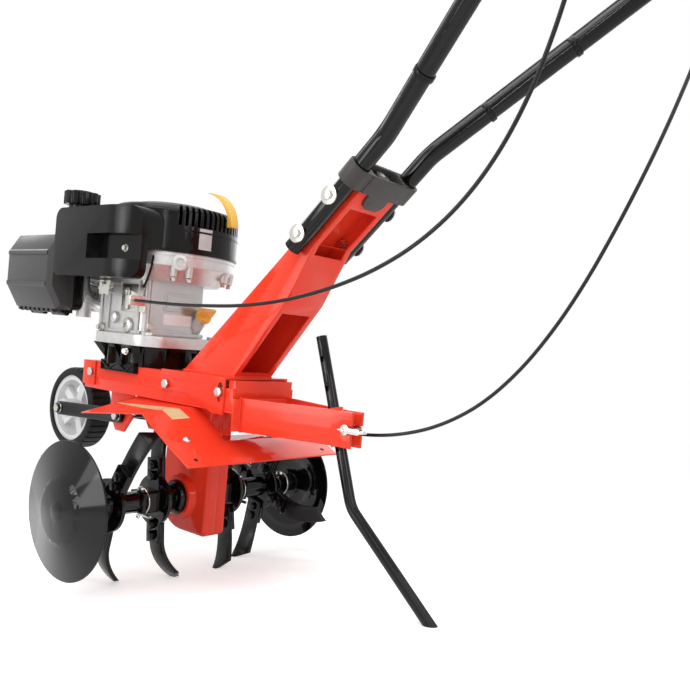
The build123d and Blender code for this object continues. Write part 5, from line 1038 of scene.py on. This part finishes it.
class Repeat(Enum):
    """The Geometry Nodes trees that repeat a shape."""

    STUDS = "stand_on_points"
    BEADS = "string_along_seams"

    def _start(self) -> tuple[bpy.types.NodeTree, bpy.types.Node, bpy.types.Node]:
        """Starts the tree with its named inputs.

        Returns:
            The tree, its input node and its output node.
        """
        tree = bpy.data.node_groups.new(self.value, "GeometryNodeTree")
        inputs = {
            "Places": "NodeSocketGeometry",
            "Shape": "NodeSocketObject",
            "Pitch": "NodeSocketFloat",
            "Finish": "NodeSocketMaterial",
        }
        for name, kind in inputs.items():
            tree.interface.new_socket(name, in_out="INPUT", socket_type=kind)
        tree.interface.new_socket("Pieces", in_out="OUTPUT", socket_type="NodeSocketGeometry")
        return tree, tree.nodes.new("NodeGroupInput"), tree.nodes.new("NodeGroupOutput")

    def tree(self) -> bpy.types.NodeTree:
        """Builds the tree, or gives the one already built.

        Returns:
            The tree.
        """
        known = bpy.data.node_groups.get(self.value)
        if known:
            return known
        tree, start, end = self._start()
        join = tree.links.new
        shape = tree.nodes.new("GeometryNodeObjectInfo")
        align = tree.nodes.new("FunctionNodeAlignRotationToVector")
        align.axis = "Z"
        put = tree.nodes.new("GeometryNodeInstanceOnPoints")
        real = tree.nodes.new("GeometryNodeRealizeInstances")
        coat = tree.nodes.new("GeometryNodeSetMaterial")
        join(start.outputs["Shape"], shape.inputs["Object"])
        if self is Repeat.STUDS:
            facing = tree.nodes.new("GeometryNodeInputNamedAttribute")
            facing.data_type = "FLOAT_VECTOR"
            facing.inputs["Name"].default_value = "facing"
            join(start.outputs["Places"], put.inputs["Points"])
            join(facing.outputs["Attribute"], align.inputs["Vector"])
            join(start.outputs["Pitch"], put.inputs["Scale"])
        else:
            line = tree.nodes.new("GeometryNodeMeshToCurve")
            even = tree.nodes.new("GeometryNodeResampleCurve")
            even.mode = "LENGTH"
            tangent = tree.nodes.new("GeometryNodeInputTangent")
            join(start.outputs["Places"], line.inputs["Mesh"])
            join(line.outputs["Curve"], even.inputs["Curve"])
            join(start.outputs["Pitch"], even.inputs["Length"])
            join(even.outputs["Curve"], put.inputs["Points"])
            join(tangent.outputs["Tangent"], align.inputs["Vector"])
        join(shape.outputs["Geometry"], put.inputs["Instance"])
        join(align.outputs["Rotation"], put.inputs["Rotation"])
        join(put.outputs["Instances"], real.inputs["Geometry"])
        join(real.outputs["Geometry"], coat.inputs["Geometry"])
        join(start.outputs["Finish"], coat.inputs["Material"])
        join(coat.outputs["Geometry"], end.inputs["Pieces"])
        return tree

    def grow(
        self, name: str, places: bpy.types.Object, shape: bpy.types.Object, pitch: float, finish: Finish
    ) -> bpy.types.Object:
        """Sets the shape on every place and gives the result as a plain mesh.

        Args:
            name: the piece's name.
            places: object whose points or edges say where, removed afterwards.
            shape: pattern to repeat, removed afterwards.
            pitch: scale of a stud, or spacing of beads in metres.
            finish: finish of the result.

        Returns:
            The piece.
        """
        tree = self.tree()
        step = places.modifiers.new("repeat", "NODES")
        step.node_group = tree
        given = {"Shape": shape, "Pitch": pitch, "Finish": finish.material()}
        for item in tree.interface.items_tree:
            if item.in_out == "INPUT" and item.name in given:
                step[item.identifier] = given[item.name]
        bpy.context.view_layer.update()
        graph = bpy.context.evaluated_depsgraph_get()
        data = bpy.data.meshes.new_from_object(places.evaluated_get(graph))
        data.name = name
        places.modifiers.clear()
        for spare in (places, shape):
            mesh = spare.data
            bpy.data.objects.remove(spare)
            bpy.data.meshes.remove(mesh)
        shade(data, CREASE)
        return link(name, data)


@dataclass(frozen=True)
class Studs:
    """One pattern that stands on several places, such as screw heads, or black discs of painted shade that
    stand for holes.
    """

    name: str
    finish: Finish
    body: str
    slot: str

    def build(
        self, spots: Sequence[tuple[Point, Point]], shape: bpy.types.Object, scale: float = 1.0
    ) -> None:
        """Makes the piece.

        Args:
            spots: machine place and facing of each.
            shape: the pattern.
            scale: scale of the pattern.
        """
        data = bpy.data.meshes.new(f"{self.name}_places")
        data.from_pydata([STANCE.point(place) for place, _ in spots], [], [])
        facing = data.attributes.new("facing", "FLOAT_VECTOR", "POINT")
        for item, (_, way) in zip(facing.data, spots):
            item.vector = STANCE.turn(way)
        places = link(data.name, data)
        thing = Repeat.STUDS.grow(self.name, places, shape, scale, self.finish)
        dress(thing, self.finish, self.body)


@dataclass(frozen=True)
class Weld:
    """Beads of weld in the frame's own enamel."""

    name: str
    body: str
    radius: float
    pitch: float
    sides: int = 14
    crease: float = 60.0

    def _ripple(self) -> bpy.types.Object:
        """Makes one ripple of the bead.

        Returns:
            The ripple as a pattern.
        """
        shoulder, rise = self.radius * 0.75, self.pitch * 0.7
        lens = [(0, -self.pitch), (shoulder, -rise), (self.radius, 0), (shoulder, rise), (0, self.pitch)]
        return Form().turned(lens, sides=self.sides).piece("ripple", self.crease, False)

    def build(self, seams: Sequence[Sequence[Point]]) -> None:
        """Makes the piece.

        Args:
            seams: machine points of each seam.
        """
        spots, edges = [], []
        for seam in seams:
            first = len(spots)
            spots += [STANCE.point(place) for place in seam]
            edges += [(first + i, first + i + 1) for i in range(len(seam) - 1)]
        data = bpy.data.meshes.new(f"{self.name}_seams")
        data.from_pydata(spots, edges, [])
        places = link(data.name, data)
        thing = Repeat.BEADS.grow(self.name, places, self._ripple(), self.pitch * MM, Paint.ORANGE)
        dress(thing, Paint.ORANGE, self.body)


@dataclass(frozen=True)
class HexBolt:
    """A flanged hexagon bolt head."""

    across: float
    head: float
    flange: float
    flange_high: float
    bevel: float = 0.5

    def pattern(self) -> bpy.types.Object:
        """Makes the head.

        Returns:
            The head as a pattern standing on the origin.
        """
        rim, high = self.flange, self.flange_high
        plate = [(0, 0), (rim, 0), (rim, high * 0.6), (rim * 0.92, high), (0, high)]
        form = Form().turned(plate, sides=32)
        hexagon = [polar((0, 0), self.across / math.sqrt(3), t) for t in sweep(0, 300, 5)]
        form.prism(hexagon, Along.UP, (high * 0.5, high + self.head), self.bevel)
        return form.piece("bolt", placed=False)


@dataclass(frozen=True)
class Engine:
    """Castings, plates, shells, leads and linkage of the engine."""

    housing: Pair = (-118.0, 8.0)
    housing_radius: float = 112.0
    lip_depth: float = 0.6
    crown_spokes: int = 9
    label_angles: Pair = (-15.2, -3.2)
    block_rear: float = -76.0
    block_left: float = -68.0
    side_ribs: tuple[float, ...] = (-198.0, -176.0, -92.0)
    domes: tuple[Point, ...] = ((-114, 269, 13), (-152, 281, 10), (-186, 262, 8))
    cover_bolts: tuple[Pair, ...] = ((-57, 268), (-57, 358), (49, 358))
    lugs: tuple[Pair, ...] = ((-34, 7), (-20, 6), (24, 7), (46, 7))
    lug_reach: float = 103.0
    eye_angle: float = -29.0
    eye_reach: float = 108.0
    lone_screws: tuple[tuple[Point, Point], ...] = (
        ((-75.7, -112, 391), LEFTWARDS),
        ((-105.3, -76.7, 226), (0.28, -0.96, 0)),
        ((-163, -90, 334), LEFTWARDS),
    )
    guard_low: Point = (-322, 130, 296)
    guard_high: Point = (-212, 134.5, 366)
    guard_holes: tuple[int, int] = (10, 6)
    hole_pitch: float = 10.0
    cap: Point = (-222, -106, 487.0)
    teeth: int = 8
    first_tooth: float = -398.0
    tooth_pitch: float = 15.5
    adapter: Pair = (-128.0, 0.0)
    fins: tuple[float, ...] = (-143, -113, -83, -53, -23, 23, 53, 83, 113, 143)
    fin_rows: tuple[tuple[float, Pair], ...] = ((236.5, (75, 93)), (212, (75, 77)))
    fin_thick: float = 4.0
    foot_face: float = 70.5
    rope_eye: Point = (-11.5, 33.5, 446.0)
    rope_way: Point = (0.3, 0.55, 0.78)
    rope_hidden: float = 20.0
    rope_radius: float = 1.6
    rope_steps: int = 24

    def build(self) -> None:
        """Makes all the engine's trim."""
        self._castings()
        self._plates()
        self._shells()
        self._leads()
        self._starter()
        self._linkage()
        self._muffler()
        self._fasteners()
        self._caps()
        self._adapter()

    def _adapter(self) -> None:
        """Makes the adapter's fins, its corner gussets and the zigzag of its feet."""
        form = Form()
        for angle in self.fins:
            way = Vector((*polar((0, 0), 1, math.radians(angle)), 0))
            rows = [[Vector((*self.adapter, z)) + way * r for r in radii] for z, radii in self.fin_rows]
            form.sheet(rows, self.fin_thick)
        gusset = [(-212, 236.5), (-172, 236.5), (-176, 213)]
        zigzag = [(-180, 205), (-158, 193), (-134, 205), (-110, 193), (-88, 205)]
        rim = [(-181, 191.5), (-87, 191.5), (-87, 206.5), (-181, 206.5)]
        for side in SIDES:
            form.prism(gusset, Along.RIGHT, (side * 70, side * 65), 0.7)
            for line, radius, closed in ((zigzag, 1.7, False), (rim, 1.4, True)):
                form.tube([Vector((x, side * self.foot_face, z)) for x, z in line], radius, 6, closed)
        form.dressed("adapter_ribs", Paint.SHELL, "chassis", "black_casting")

    def _castings(self) -> None:
        """Makes ribs, bosses, lugs and the intake elbow of the crankcase."""
        form = Form()
        self._left_face(form)
        self._rear_face(form)
        for angle, radius in self.lugs:
            lug = [(0, -8), (5.5, -6), (radius, 0), (radius + 1, 12), (0, 12)]
            form.turned(lug, self._on_flare(angle, self.lug_reach, 360), sides=24)
        ring = [(13, -3), (13, 3), (11.5, 4), (7, 4), (6, 3), (6, -3)]
        outwards = (*polar((0, 0), 1, math.radians(self.eye_angle)), 0)
        form.turned(ring, self._on_flare(self.eye_angle, self.eye_reach, 377), outwards, 32)
        for radii, heights in (((106, 111.5), (371, 376)), ((106, 111.2), (386, 392))):
            form.shell(self.housing, radii, (-62, 72), heights, 1.2)
        elbow = [(-198, -52, 292), (-222, -58, 296), (-246, -56, 304), (-262, -53, 312)]
        form.tube(flow(elbow), 9.0, 20)
        form.dressed("crankcase_castings", Paint.ALLOY, "chassis", "alloy")

    def _on_flare(self, angle: float, reach: float, height: float) -> Point:
        """Gives the point of the flare under the housing at an angle in degrees."""
        return (*polar(self.housing, reach, math.radians(angle)), height)

    def _left_face(self, form: Form) -> None:
        """Adds the ribs and domes of the crankcase's left face.

        Args:
            form: the castings under construction.
        """
        left = self.block_left
        for x in self.side_ribs:
            form.block((x, left - 4, 255), (x + 5, left, 344), 1.4, 3)
        form.block((-200, left - 3, 256), (-82, left + 1, 262), 1.2, 3)
        form.block((-196, left - 3, 336), (-140, left + 1, 343), 1.2, 3)
        for x, z, r in self.domes:
            dome = [(0, -1), (r, -1), (r, 3), (r * 0.86, 6), (r * 0.5, 8), (0, 8.5)]
            form.turned(dome, (x, left, z), LEFTWARDS, 32)

    def _rear_face(self, form: Form) -> None:
        """Adds the bosses and ribs of the crankcase's rear face.

        Args:
            form: the castings under construction.
        """
        rear = self.block_rear
        boss = [(0, 0), (8, 0), (8, 3), (7, 4), (0, 4)]
        for y, z in self.cover_bolts:
            form.turned(boss, (rear - 0.5, y, z), BACKWARDS, 28)
        upright = [(-66, 264), (-62, 258), (-62, 366), (-66, 362)]
        form.prism(upright, Along.BACK, (rear - 1, rear + 3), 0.8)
        form.block((rear - 1, -66, 256), (rear + 5, 56, 263), 1.6, 3)
        form.block((rear - 1, -66, 362), (rear + 6, 54, 369), 1.6, 3)

    def _plates(self) -> None:
        """Makes the milled rear cover with its blank plate and blank labels."""
        rear = self.block_rear
        cover = Form().block((rear - 0.5, -58, 266), (rear + 1.5, 50, 360), 0.8)
        cover.block((rear + 1, -31, 298), (rear + 2.4, 29, 329), 0.9, 3)
        cover.block((rear + 2, -27, 302), (rear + 3.0, 25, 325), 0.5)
        cover.dressed("rear_cover", Paint.MILLED, "chassis", "alloy")
        label = Form().block((rear + 1.4, -30, 275), (rear + 1.8, 29, 293), 0.1)
        reach, turns = self.housing_radius + 0.5, sweep(*self.label_angles, 8)
        rows = [[(*polar(self.housing, reach, t), z) for t in turns] for z in (402, 436)]
        label.sheet(rows, 0.3)
        label.dressed("blank_labels", Paint.LABEL, "chassis", "white_plastic")

    def _shells(self) -> None:
        """Makes the duct, lips and crown of the blower housing."""
        form = Form()
        inner = self.housing_radius - self.lip_depth
        walls = (
            (2.6, (-82, -37), (396, 455), 2.2, 24),
            (1.8, (-37, 84), (393, 398), 0.8, 24),
            (1.2, (-37, 60), (428, 431), 0.5, 24),
            (1.4, (-37, -34), (398, 456), 0.5, 4),
        )
        for proud, angles, heights, bevel, steps in walls:
            form.shell(self.housing, (inner, self.housing_radius + proud), angles, heights, bevel, steps)
        crown = [(0, -1), (74, -1), (72, 4), (66, 7), (40, 8.5), (0, 9)]
        form.turned(crown, (*self.housing, 471), sides=64)
        middle, fall = Vector((*self.housing, 479.2)), Vector((0, 0, 0.6))
        for i in range(self.crown_spokes):
            way = Vector((*polar((0, 0), 1, math.tau * i / self.crown_spokes), 0))
            form.tube([middle + way * 14, middle + way * 38 - fall], 1.6, 10)
        form.dressed("housing_mouldings", Paint.SHELL, "chassis", "black_plastic")

    def _leads(self) -> None:
        """Makes the stop lead and the plug lead."""
        stop = [(-57, -72, 394), (-50, -78, 380), (-51, -80, 362), (-60, -80, 342), (-68, -79, 333)]
        plug = [(-352, 0, 330), (-356, -4, 352), (-334, -8, 382), (-280, -8, 392), (-231, -2, 398)]
        form = Form().tube(flow(stop), 2.0, 12).tube(flow(plug), 3.4, 14)
        form.dressed("leads", Paint.RUBBER, "chassis", "rubber")

    def _starter(self) -> None:
        """Makes a short straight piece of starter rope where it comes out of the housing."""
        eye = Vector(self.rope_eye)
        knot = eye + Vector(self.rope_way).normalized() * self.rope_hidden
        line = [eye.lerp(knot, i / self.rope_steps) for i in range(self.rope_steps + 1)]
        rope = Form().tube(line, self.rope_radius, 12).piece("starter_rope")
        dress(rope, Paint.RUBBER, None)
        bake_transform(rope)

    def _linkage(self) -> None:
        """Makes the governor springs, rods and brackets beside the crankcase."""
        long_rod = [(-150, -77, 322), (-190, -76, 326), (-232, -70, 334), (-254, -64, 336)]
        short_rod = [(-150, -90, 340), (-172, -91, 341), (-206, -84, 337)]
        plate = [(-150, 316), (-150, 341), (-139, 341), (-144, 316)]
        form = Form().tube(coil((-142, -84, 334), (-196, -80, 330), 4.2, 9), 0.9, 8)
        form.tube(flow(long_rod), 1.4, 10).tube(flow(short_rod), 1.2, 10)
        form.block((-176, -90, 318), (-150, -88, 341), 0.6)
        form.prism(plate, Along.RIGHT, (-94, -92), 0.6)
        form.dressed("governor_linkage", Paint.ZINC, "chassis", "zinc")

    def _muffler(self) -> None:
        """Makes the muffler's guard and its rows of holes, each a thin black disc of painted shade on the
        guard.
        """
        guard = Form().block(self.guard_low, self.guard_high, 2.4, 3)
        guard.dressed("muffler_guard", Paint.MUFFLER, "chassis", "steel")
        # Each hole is a thin disc in black rubber finish: painted shade that stands for the dark inside of
        # an open hole.
        hole = Form().turned([(0, 0), (3.6, 0), (3.2, 0.5), (2.6, 0.2), (0, 0.2)], sides=16)
        across, up = (range(1, count + 1) for count in self.guard_holes)
        (x, _, z), pitch, face = self.guard_low, self.hole_pitch, self.guard_high[1] - 0.05
        spots = [((x + pitch * i, face, z + pitch * j), RIGHTWARDS) for i in across for j in up]
        painted_hole_shades = Studs("guard_holes", Paint.RUBBER, "chassis", "steel")
        painted_hole_shades.build(spots, hole.piece("hole", placed=False))

    def _fasteners(self) -> None:
        """Makes the small bolts of the engine."""
        spots = [((self.block_rear + 3.4, y, z), BACKWARDS) for y, z in self.cover_bolts]
        spots += self.lone_screws
        spots += [((x, self.block_left - 8, z), LEFTWARDS) for x, z, _ in self.domes[::2]]
        (left, _, low), (right, face, high) = self.guard_low, self.guard_high
        corners = [(x, z) for x in (left + 5, right - 5) for z in (low + 5, high - 5)]
        spots += [((x, face - 0.1, z), RIGHTWARDS) for x, z in corners]
        spots += [(self._on_flare(angle, self.lug_reach, 352.4), DOWNWARDS) for angle, _ in self.lugs]
        screws = Studs("engine_screws", Paint.ZINC, "chassis", "zinc")
        screws.build(spots, HexBolt(8, 4.2, 6.2, 1.2).pattern())

    def _caps(self) -> None:
        """Makes the fuel cap's crown and the filter cover's teeth, ledges and seam."""
        crown = Form().turned([(0, -0.5), (20, -0.5), (19, 1.6), (15, 2.6), (0, 3.2)], self.cap, sides=40)
        crown.dressed("cap_crown", Paint.SHELL, "tank_cap", "black_plastic")
        form = Form()
        tooth = [(-112, 288), (-112, 281), (-104, 279), (-98, 286), (-98, 288)]
        for i in range(self.teeth):
            x = self.first_tooth + self.tooth_pitch * i
            form.prism(tooth, Along.BACK, (x, x + 8), 0.7)
        upper = [(-133, 388), (-135.6, 385), (-136, 379), (-133, 377)]
        lower = [(-133, 333), (-136, 331), (-135.6, 325), (-133, 322)]
        for ledge in (upper, lower):
            form.prism(ledge, Along.BACK, (-403, -270), 0.6)
        form.block((-413, -93, 415), (-260, -86, 418.4), 1.0)
        for x in (-413, -263):
            form.block((x, -93, 290), (x + 3, -86, 418), 1.0)
        form.dressed("cover_teeth", Paint.COVER, "filter_lid", "grey_plastic")


@dataclass(frozen=True)
class Chassis:
    """Welds, screws, strip and clip of the frame and its shield."""

    crest: Pair = (61.0, 146.0)
    knee: Pair = (124.0, 110.0)
    wing: Pair = (-50.0, -157.0)
    front: Pair = (-93.0, 128.0)
    pan: float = 154.0
    strip_lift: float = 0.55
    strip_thick: float = 0.3
    strip_runs: tuple[int, int] = (8, 4)
    strip_edges: tuple[tuple[tuple[Pair, Pair], tuple[Pair, Pair]], ...] = (
        (((-90, -97), (61, -90)), ((-30, -108), (61, -120))),
        (((61, -90), (80, -84)), ((61, -120), (80, -116))),
    )
    drawbar_seam: Point = (150.5, 50.5, 130.0)
    saddle_seam: Point = (118.0, 41.0, 206.2)
    clip_level: float = 153.5
    rod_line: tuple[Point, ...] = ((-182, -50, 118), (-140, -50, 121.5), (-98, -50, 125))

    def build(self) -> None:
        """Makes all the frame's trim."""
        self._strip()
        self._welds()
        self._screws()
        self._clip()
        self._rod()

    def _above_shield(self, spot: Pair) -> Point:
        """Gives the strip's place over a point of the shield.

        Args:
            spot: distance behind the axle, and to the right, negative on the left wing.

        Returns:
            The point just above the shield's upper side.
        """
        x, y = spot
        share = (self.wing[0] - y) / (self.wing[0] - self.wing[1])
        if x <= self.crest[0]:
            along = (x - self.front[0]) / (self.crest[0] - self.front[0])
            outer = self.front[1] + along * (self.crest[1] - self.front[1])
            height = self.pan + (outer - self.pan) * share
        else:
            fall = (x - self.crest[0]) / (self.knee[0] - self.crest[0])
            top = self.pan + (self.crest[1] - self.pan) * share
            height = top + (self.knee[1] - top) * fall
        return x, y, height + self.strip_lift

    def _strip(self) -> None:
        """Makes the blank strip that follows the shield's crest."""
        form = Form()
        columns, rows = self.strip_runs
        for near, far in self.strip_edges:
            shares = [i / columns for i in range(columns + 1)]
            lines = [(between(*near, share), between(*far, share)) for share in shares]
            grid = [[self._above_shield(between(a, b, j / rows)) for a, b in lines] for j in range(rows + 1)]
            form.sheet(grid, self.strip_thick)
        form.dressed("blank_strip", Paint.STRIP, "chassis", "yellow_plastic")

    def _welds(self) -> None:
        """Makes the welds of the drawbar on the chassis and of the column on its saddle."""
        x, y, z = self.drawbar_seam
        seams = [[(x, s * y, z), (x, s * y, z + 47)] for s in SIDES]
        seams.append([(x + 0.5, s * (y - 2.5), z - 1.5) for s in SIDES])
        Weld("drawbar_welds", "chassis", 2.3, 1.9).build(seams)
        x, y, z = self.saddle_seam
        seams = [[(4, s * y, z), (x, s * y, z)] for s in SIDES]
        seams.append([(x + 1, s * (y - 1), z) for s in SIDES])
        Weld("column_welds", "handle", 1.9, 1.7).build(seams)

    def _screws(self) -> None:
        """Makes the shield's screws, and its holes as thin black discs of painted shade."""
        dome = [(0, 0), (6.5, 0), (6.2, 1.6), (4.8, 3.0), (2.4, 3.8), (0, 4.0)]
        head = Form().turned(dome, sides=28).piece("screw", placed=False)
        spots = [((118, s * 118, 114.0), (0.496, 0, 0.868)) for s in SIDES]
        Studs("shield_screws", Paint.ZINC, "chassis", "zinc").build(spots, head, 0.9)
        # The holes are thin discs in black rubber finish on the shield: painted shade in place of open
        # holes.
        ring = [(0, 0), (3.4, 0), (3.0, 0.35), (2.4, 0.15), (0, 0.15)]
        hole = Form().turned(ring, sides=20).piece("hole", placed=False)
        spots = [((159, s * 133, 92.5), (0.447, 0, 0.894)) for s in SIDES]
        Studs("shield_holes", Paint.RUBBER, "chassis", "black_paint").build(spots, hole)

    def _clip(self) -> None:
        """Makes the wire clip behind the hitch pin."""
        z = self.clip_level
        leg = [Vector((x, -22, z)) for x in (316, 334, 350)]
        loop = arc((352, -15.5, z), 6.5, RIGHTWARDS, -90, 150, 16)
        back = flow([(344, -13, z), (336, -17, z), (328, -14, z), (318, -11, z)])
        wire = Form().tube(leg + loop + back, 1.4, 10)
        wire.dressed("hitch_clip", Paint.ZINC, "chassis", "zinc")

    def _rod(self) -> None:
        """Makes the wheel's locking rod beside its bracket."""
        form = Form().tube(flow(self.rod_line), 3.4, 16)
        form.tube([Vector((-134, y, 122)) for y in (-35, -53)], 3.0, 14)
        collar = [(0, -3), (5, -3), (5.4, -2), (5.4, 2), (5, 3), (0, 3)]
        for x, z in ((-178, 118.3), (-150, 120.7), (-104, 124.5)):
            form.turned(collar, (x, -50, z), (0.99, 0, 0.08), 24)
        form.dressed("lock_rod", Paint.ZINC, "chassis", "zinc")


@dataclass(frozen=True)
class Rotor:
    """Spring clips of the hub pins."""

    pin_places: tuple[float, ...] = (-206.0, -100.0, 100.0, 206.0)
    bow: float = 21.5
    eye: float = 3.4
    wire: float = 1.3

    def build(self) -> None:
        """Makes the clips."""
        form = Form()
        for y in self.pin_places:
            bow = arc((0, y, 0), self.bow, UPWARDS, -100, 92, 28)
            eye = arc((-4, y, -24), self.eye, UPWARDS, 60, -200, 12)
            form.tube(eye[::-1] + bow, self.wire, 10)
        form.dressed("pin_clips", Paint.ZINC, "rotor", "zinc")


@dataclass(frozen=True)
class Handle:
    """Grip ribs, cable bands and the cap's screw."""

    bend: Point = (378.4, 52.6, 539.5)
    end: Point = (726.4, 187.6, 843.5)
    bands: tuple[float, ...] = (0.2, 0.48, 0.76)
    bore: float = 12.6
    grip_radius: float = 17.0
    grip_ribs: int = 15
    rib_depth: float = 1.3
    screw: tuple[Point, Point] = ((332.4, 0, 500.5), (0.72, 0, 0.694))

    def build(self) -> None:
        """Makes the handle's trim."""
        self._bands()
        self._grips()
        head = HexBolt(10, 5, 9, 1.6).pattern()
        Studs("cap_screw", Paint.ZINC, "handle", "zinc").build([self.screw], head)

    def _bands(self) -> None:
        """Makes the bands that hold the cables to the tubes."""
        form = Form()
        ring = [(self.bore, -4), (14.2, -4), (14.6, -3), (14.6, 3), (14.2, 4), (self.bore, 4)]
        for side in SIDES:
            a, b = (Vector((x, side * y, z)) for x, y, z in (self.bend, self.end))
            for share in self.bands:
                form.turned(ring, a.lerp(b, share), (b - a).normalized(), 40)
        form.dressed("cable_bands", Paint.SHELL, "handle", "black_plastic")

    def _profile(self, length: float) -> list[Pair]:
        """Gives the outline of a ribbed grip with a closed end.

        Args:
            length: length of the grip.

        Returns:
            Radius and height of each ring.
        """
        bore, radius, groove = self.bore, self.grip_radius, self.grip_radius - self.rib_depth
        profile = [(0, length - 5), (bore, length - 5), (bore, 0), (radius - 1.6, 0), (radius, 1.6)]
        pitch = (length - 18) / self.grip_ribs
        for i in range(self.grip_ribs):
            foot = 6 + pitch * i
            profile += [(radius, foot), (groove, foot + 1.0), (groove, foot + 2.2), (radius, foot + 3.2)]
        profile += [(radius, length - 4), (radius - 1.4, length - 1.2), (radius - 4, length), (0, length)]
        return profile

    def _grips(self) -> None:
        """Makes the ribbed grips in place of the plain sleeves."""
        low, high = (Vector(corner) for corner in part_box("grips"))
        back = STANCE.matrix().inverted()
        profile = self._profile((high.x - low.x) / MM)
        inset = self.grip_radius * MM
        form = Form()
        for y in (low.y + inset, high.y - inset):
            foot = back @ Vector((low.x, y, (low.z + high.z) / 2))
            form.turned(profile, foot, back.to_3x3() @ Vector(BACKWARDS))
        sleeves = form.piece("grips_finish")
        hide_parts("grips")
        dress(sleeves, Paint.RUBBER, "handle")


@dataclass(frozen=True)
class FrontWheel:
    """Nuts of the wheel's axle and pivot."""

    axle: Pair = (-348.0, 102.0)
    pivot: Pair = (-162.0, 111.0)
    face: float = 44.0

    def build(self) -> None:
        """Makes the nuts."""
        spots = [((x, s * self.face, z), (0, s, 0)) for x, z in (self.axle, self.pivot) for s in SIDES]
        nut = HexBolt(13, 5.5, 9.5, 1.6).pattern()
        Studs("fork_nuts", Paint.ZINC, "wheel_fork", "zinc").build(spots, nut)


def main() -> None:
    """Builds the scene in order."""
    logging.basicConfig(level=logging.INFO, format="%(name)s: %(message)s")
    Viewpoint().build()
    for cable in CABLES:
        cable.build()
    coat_solids()
    for unit in (Engine(), Chassis(), Rotor(), Handle(), FrontWheel()):
        unit.build()
    Studio().build()


if __name__ == "__main__":
    main()
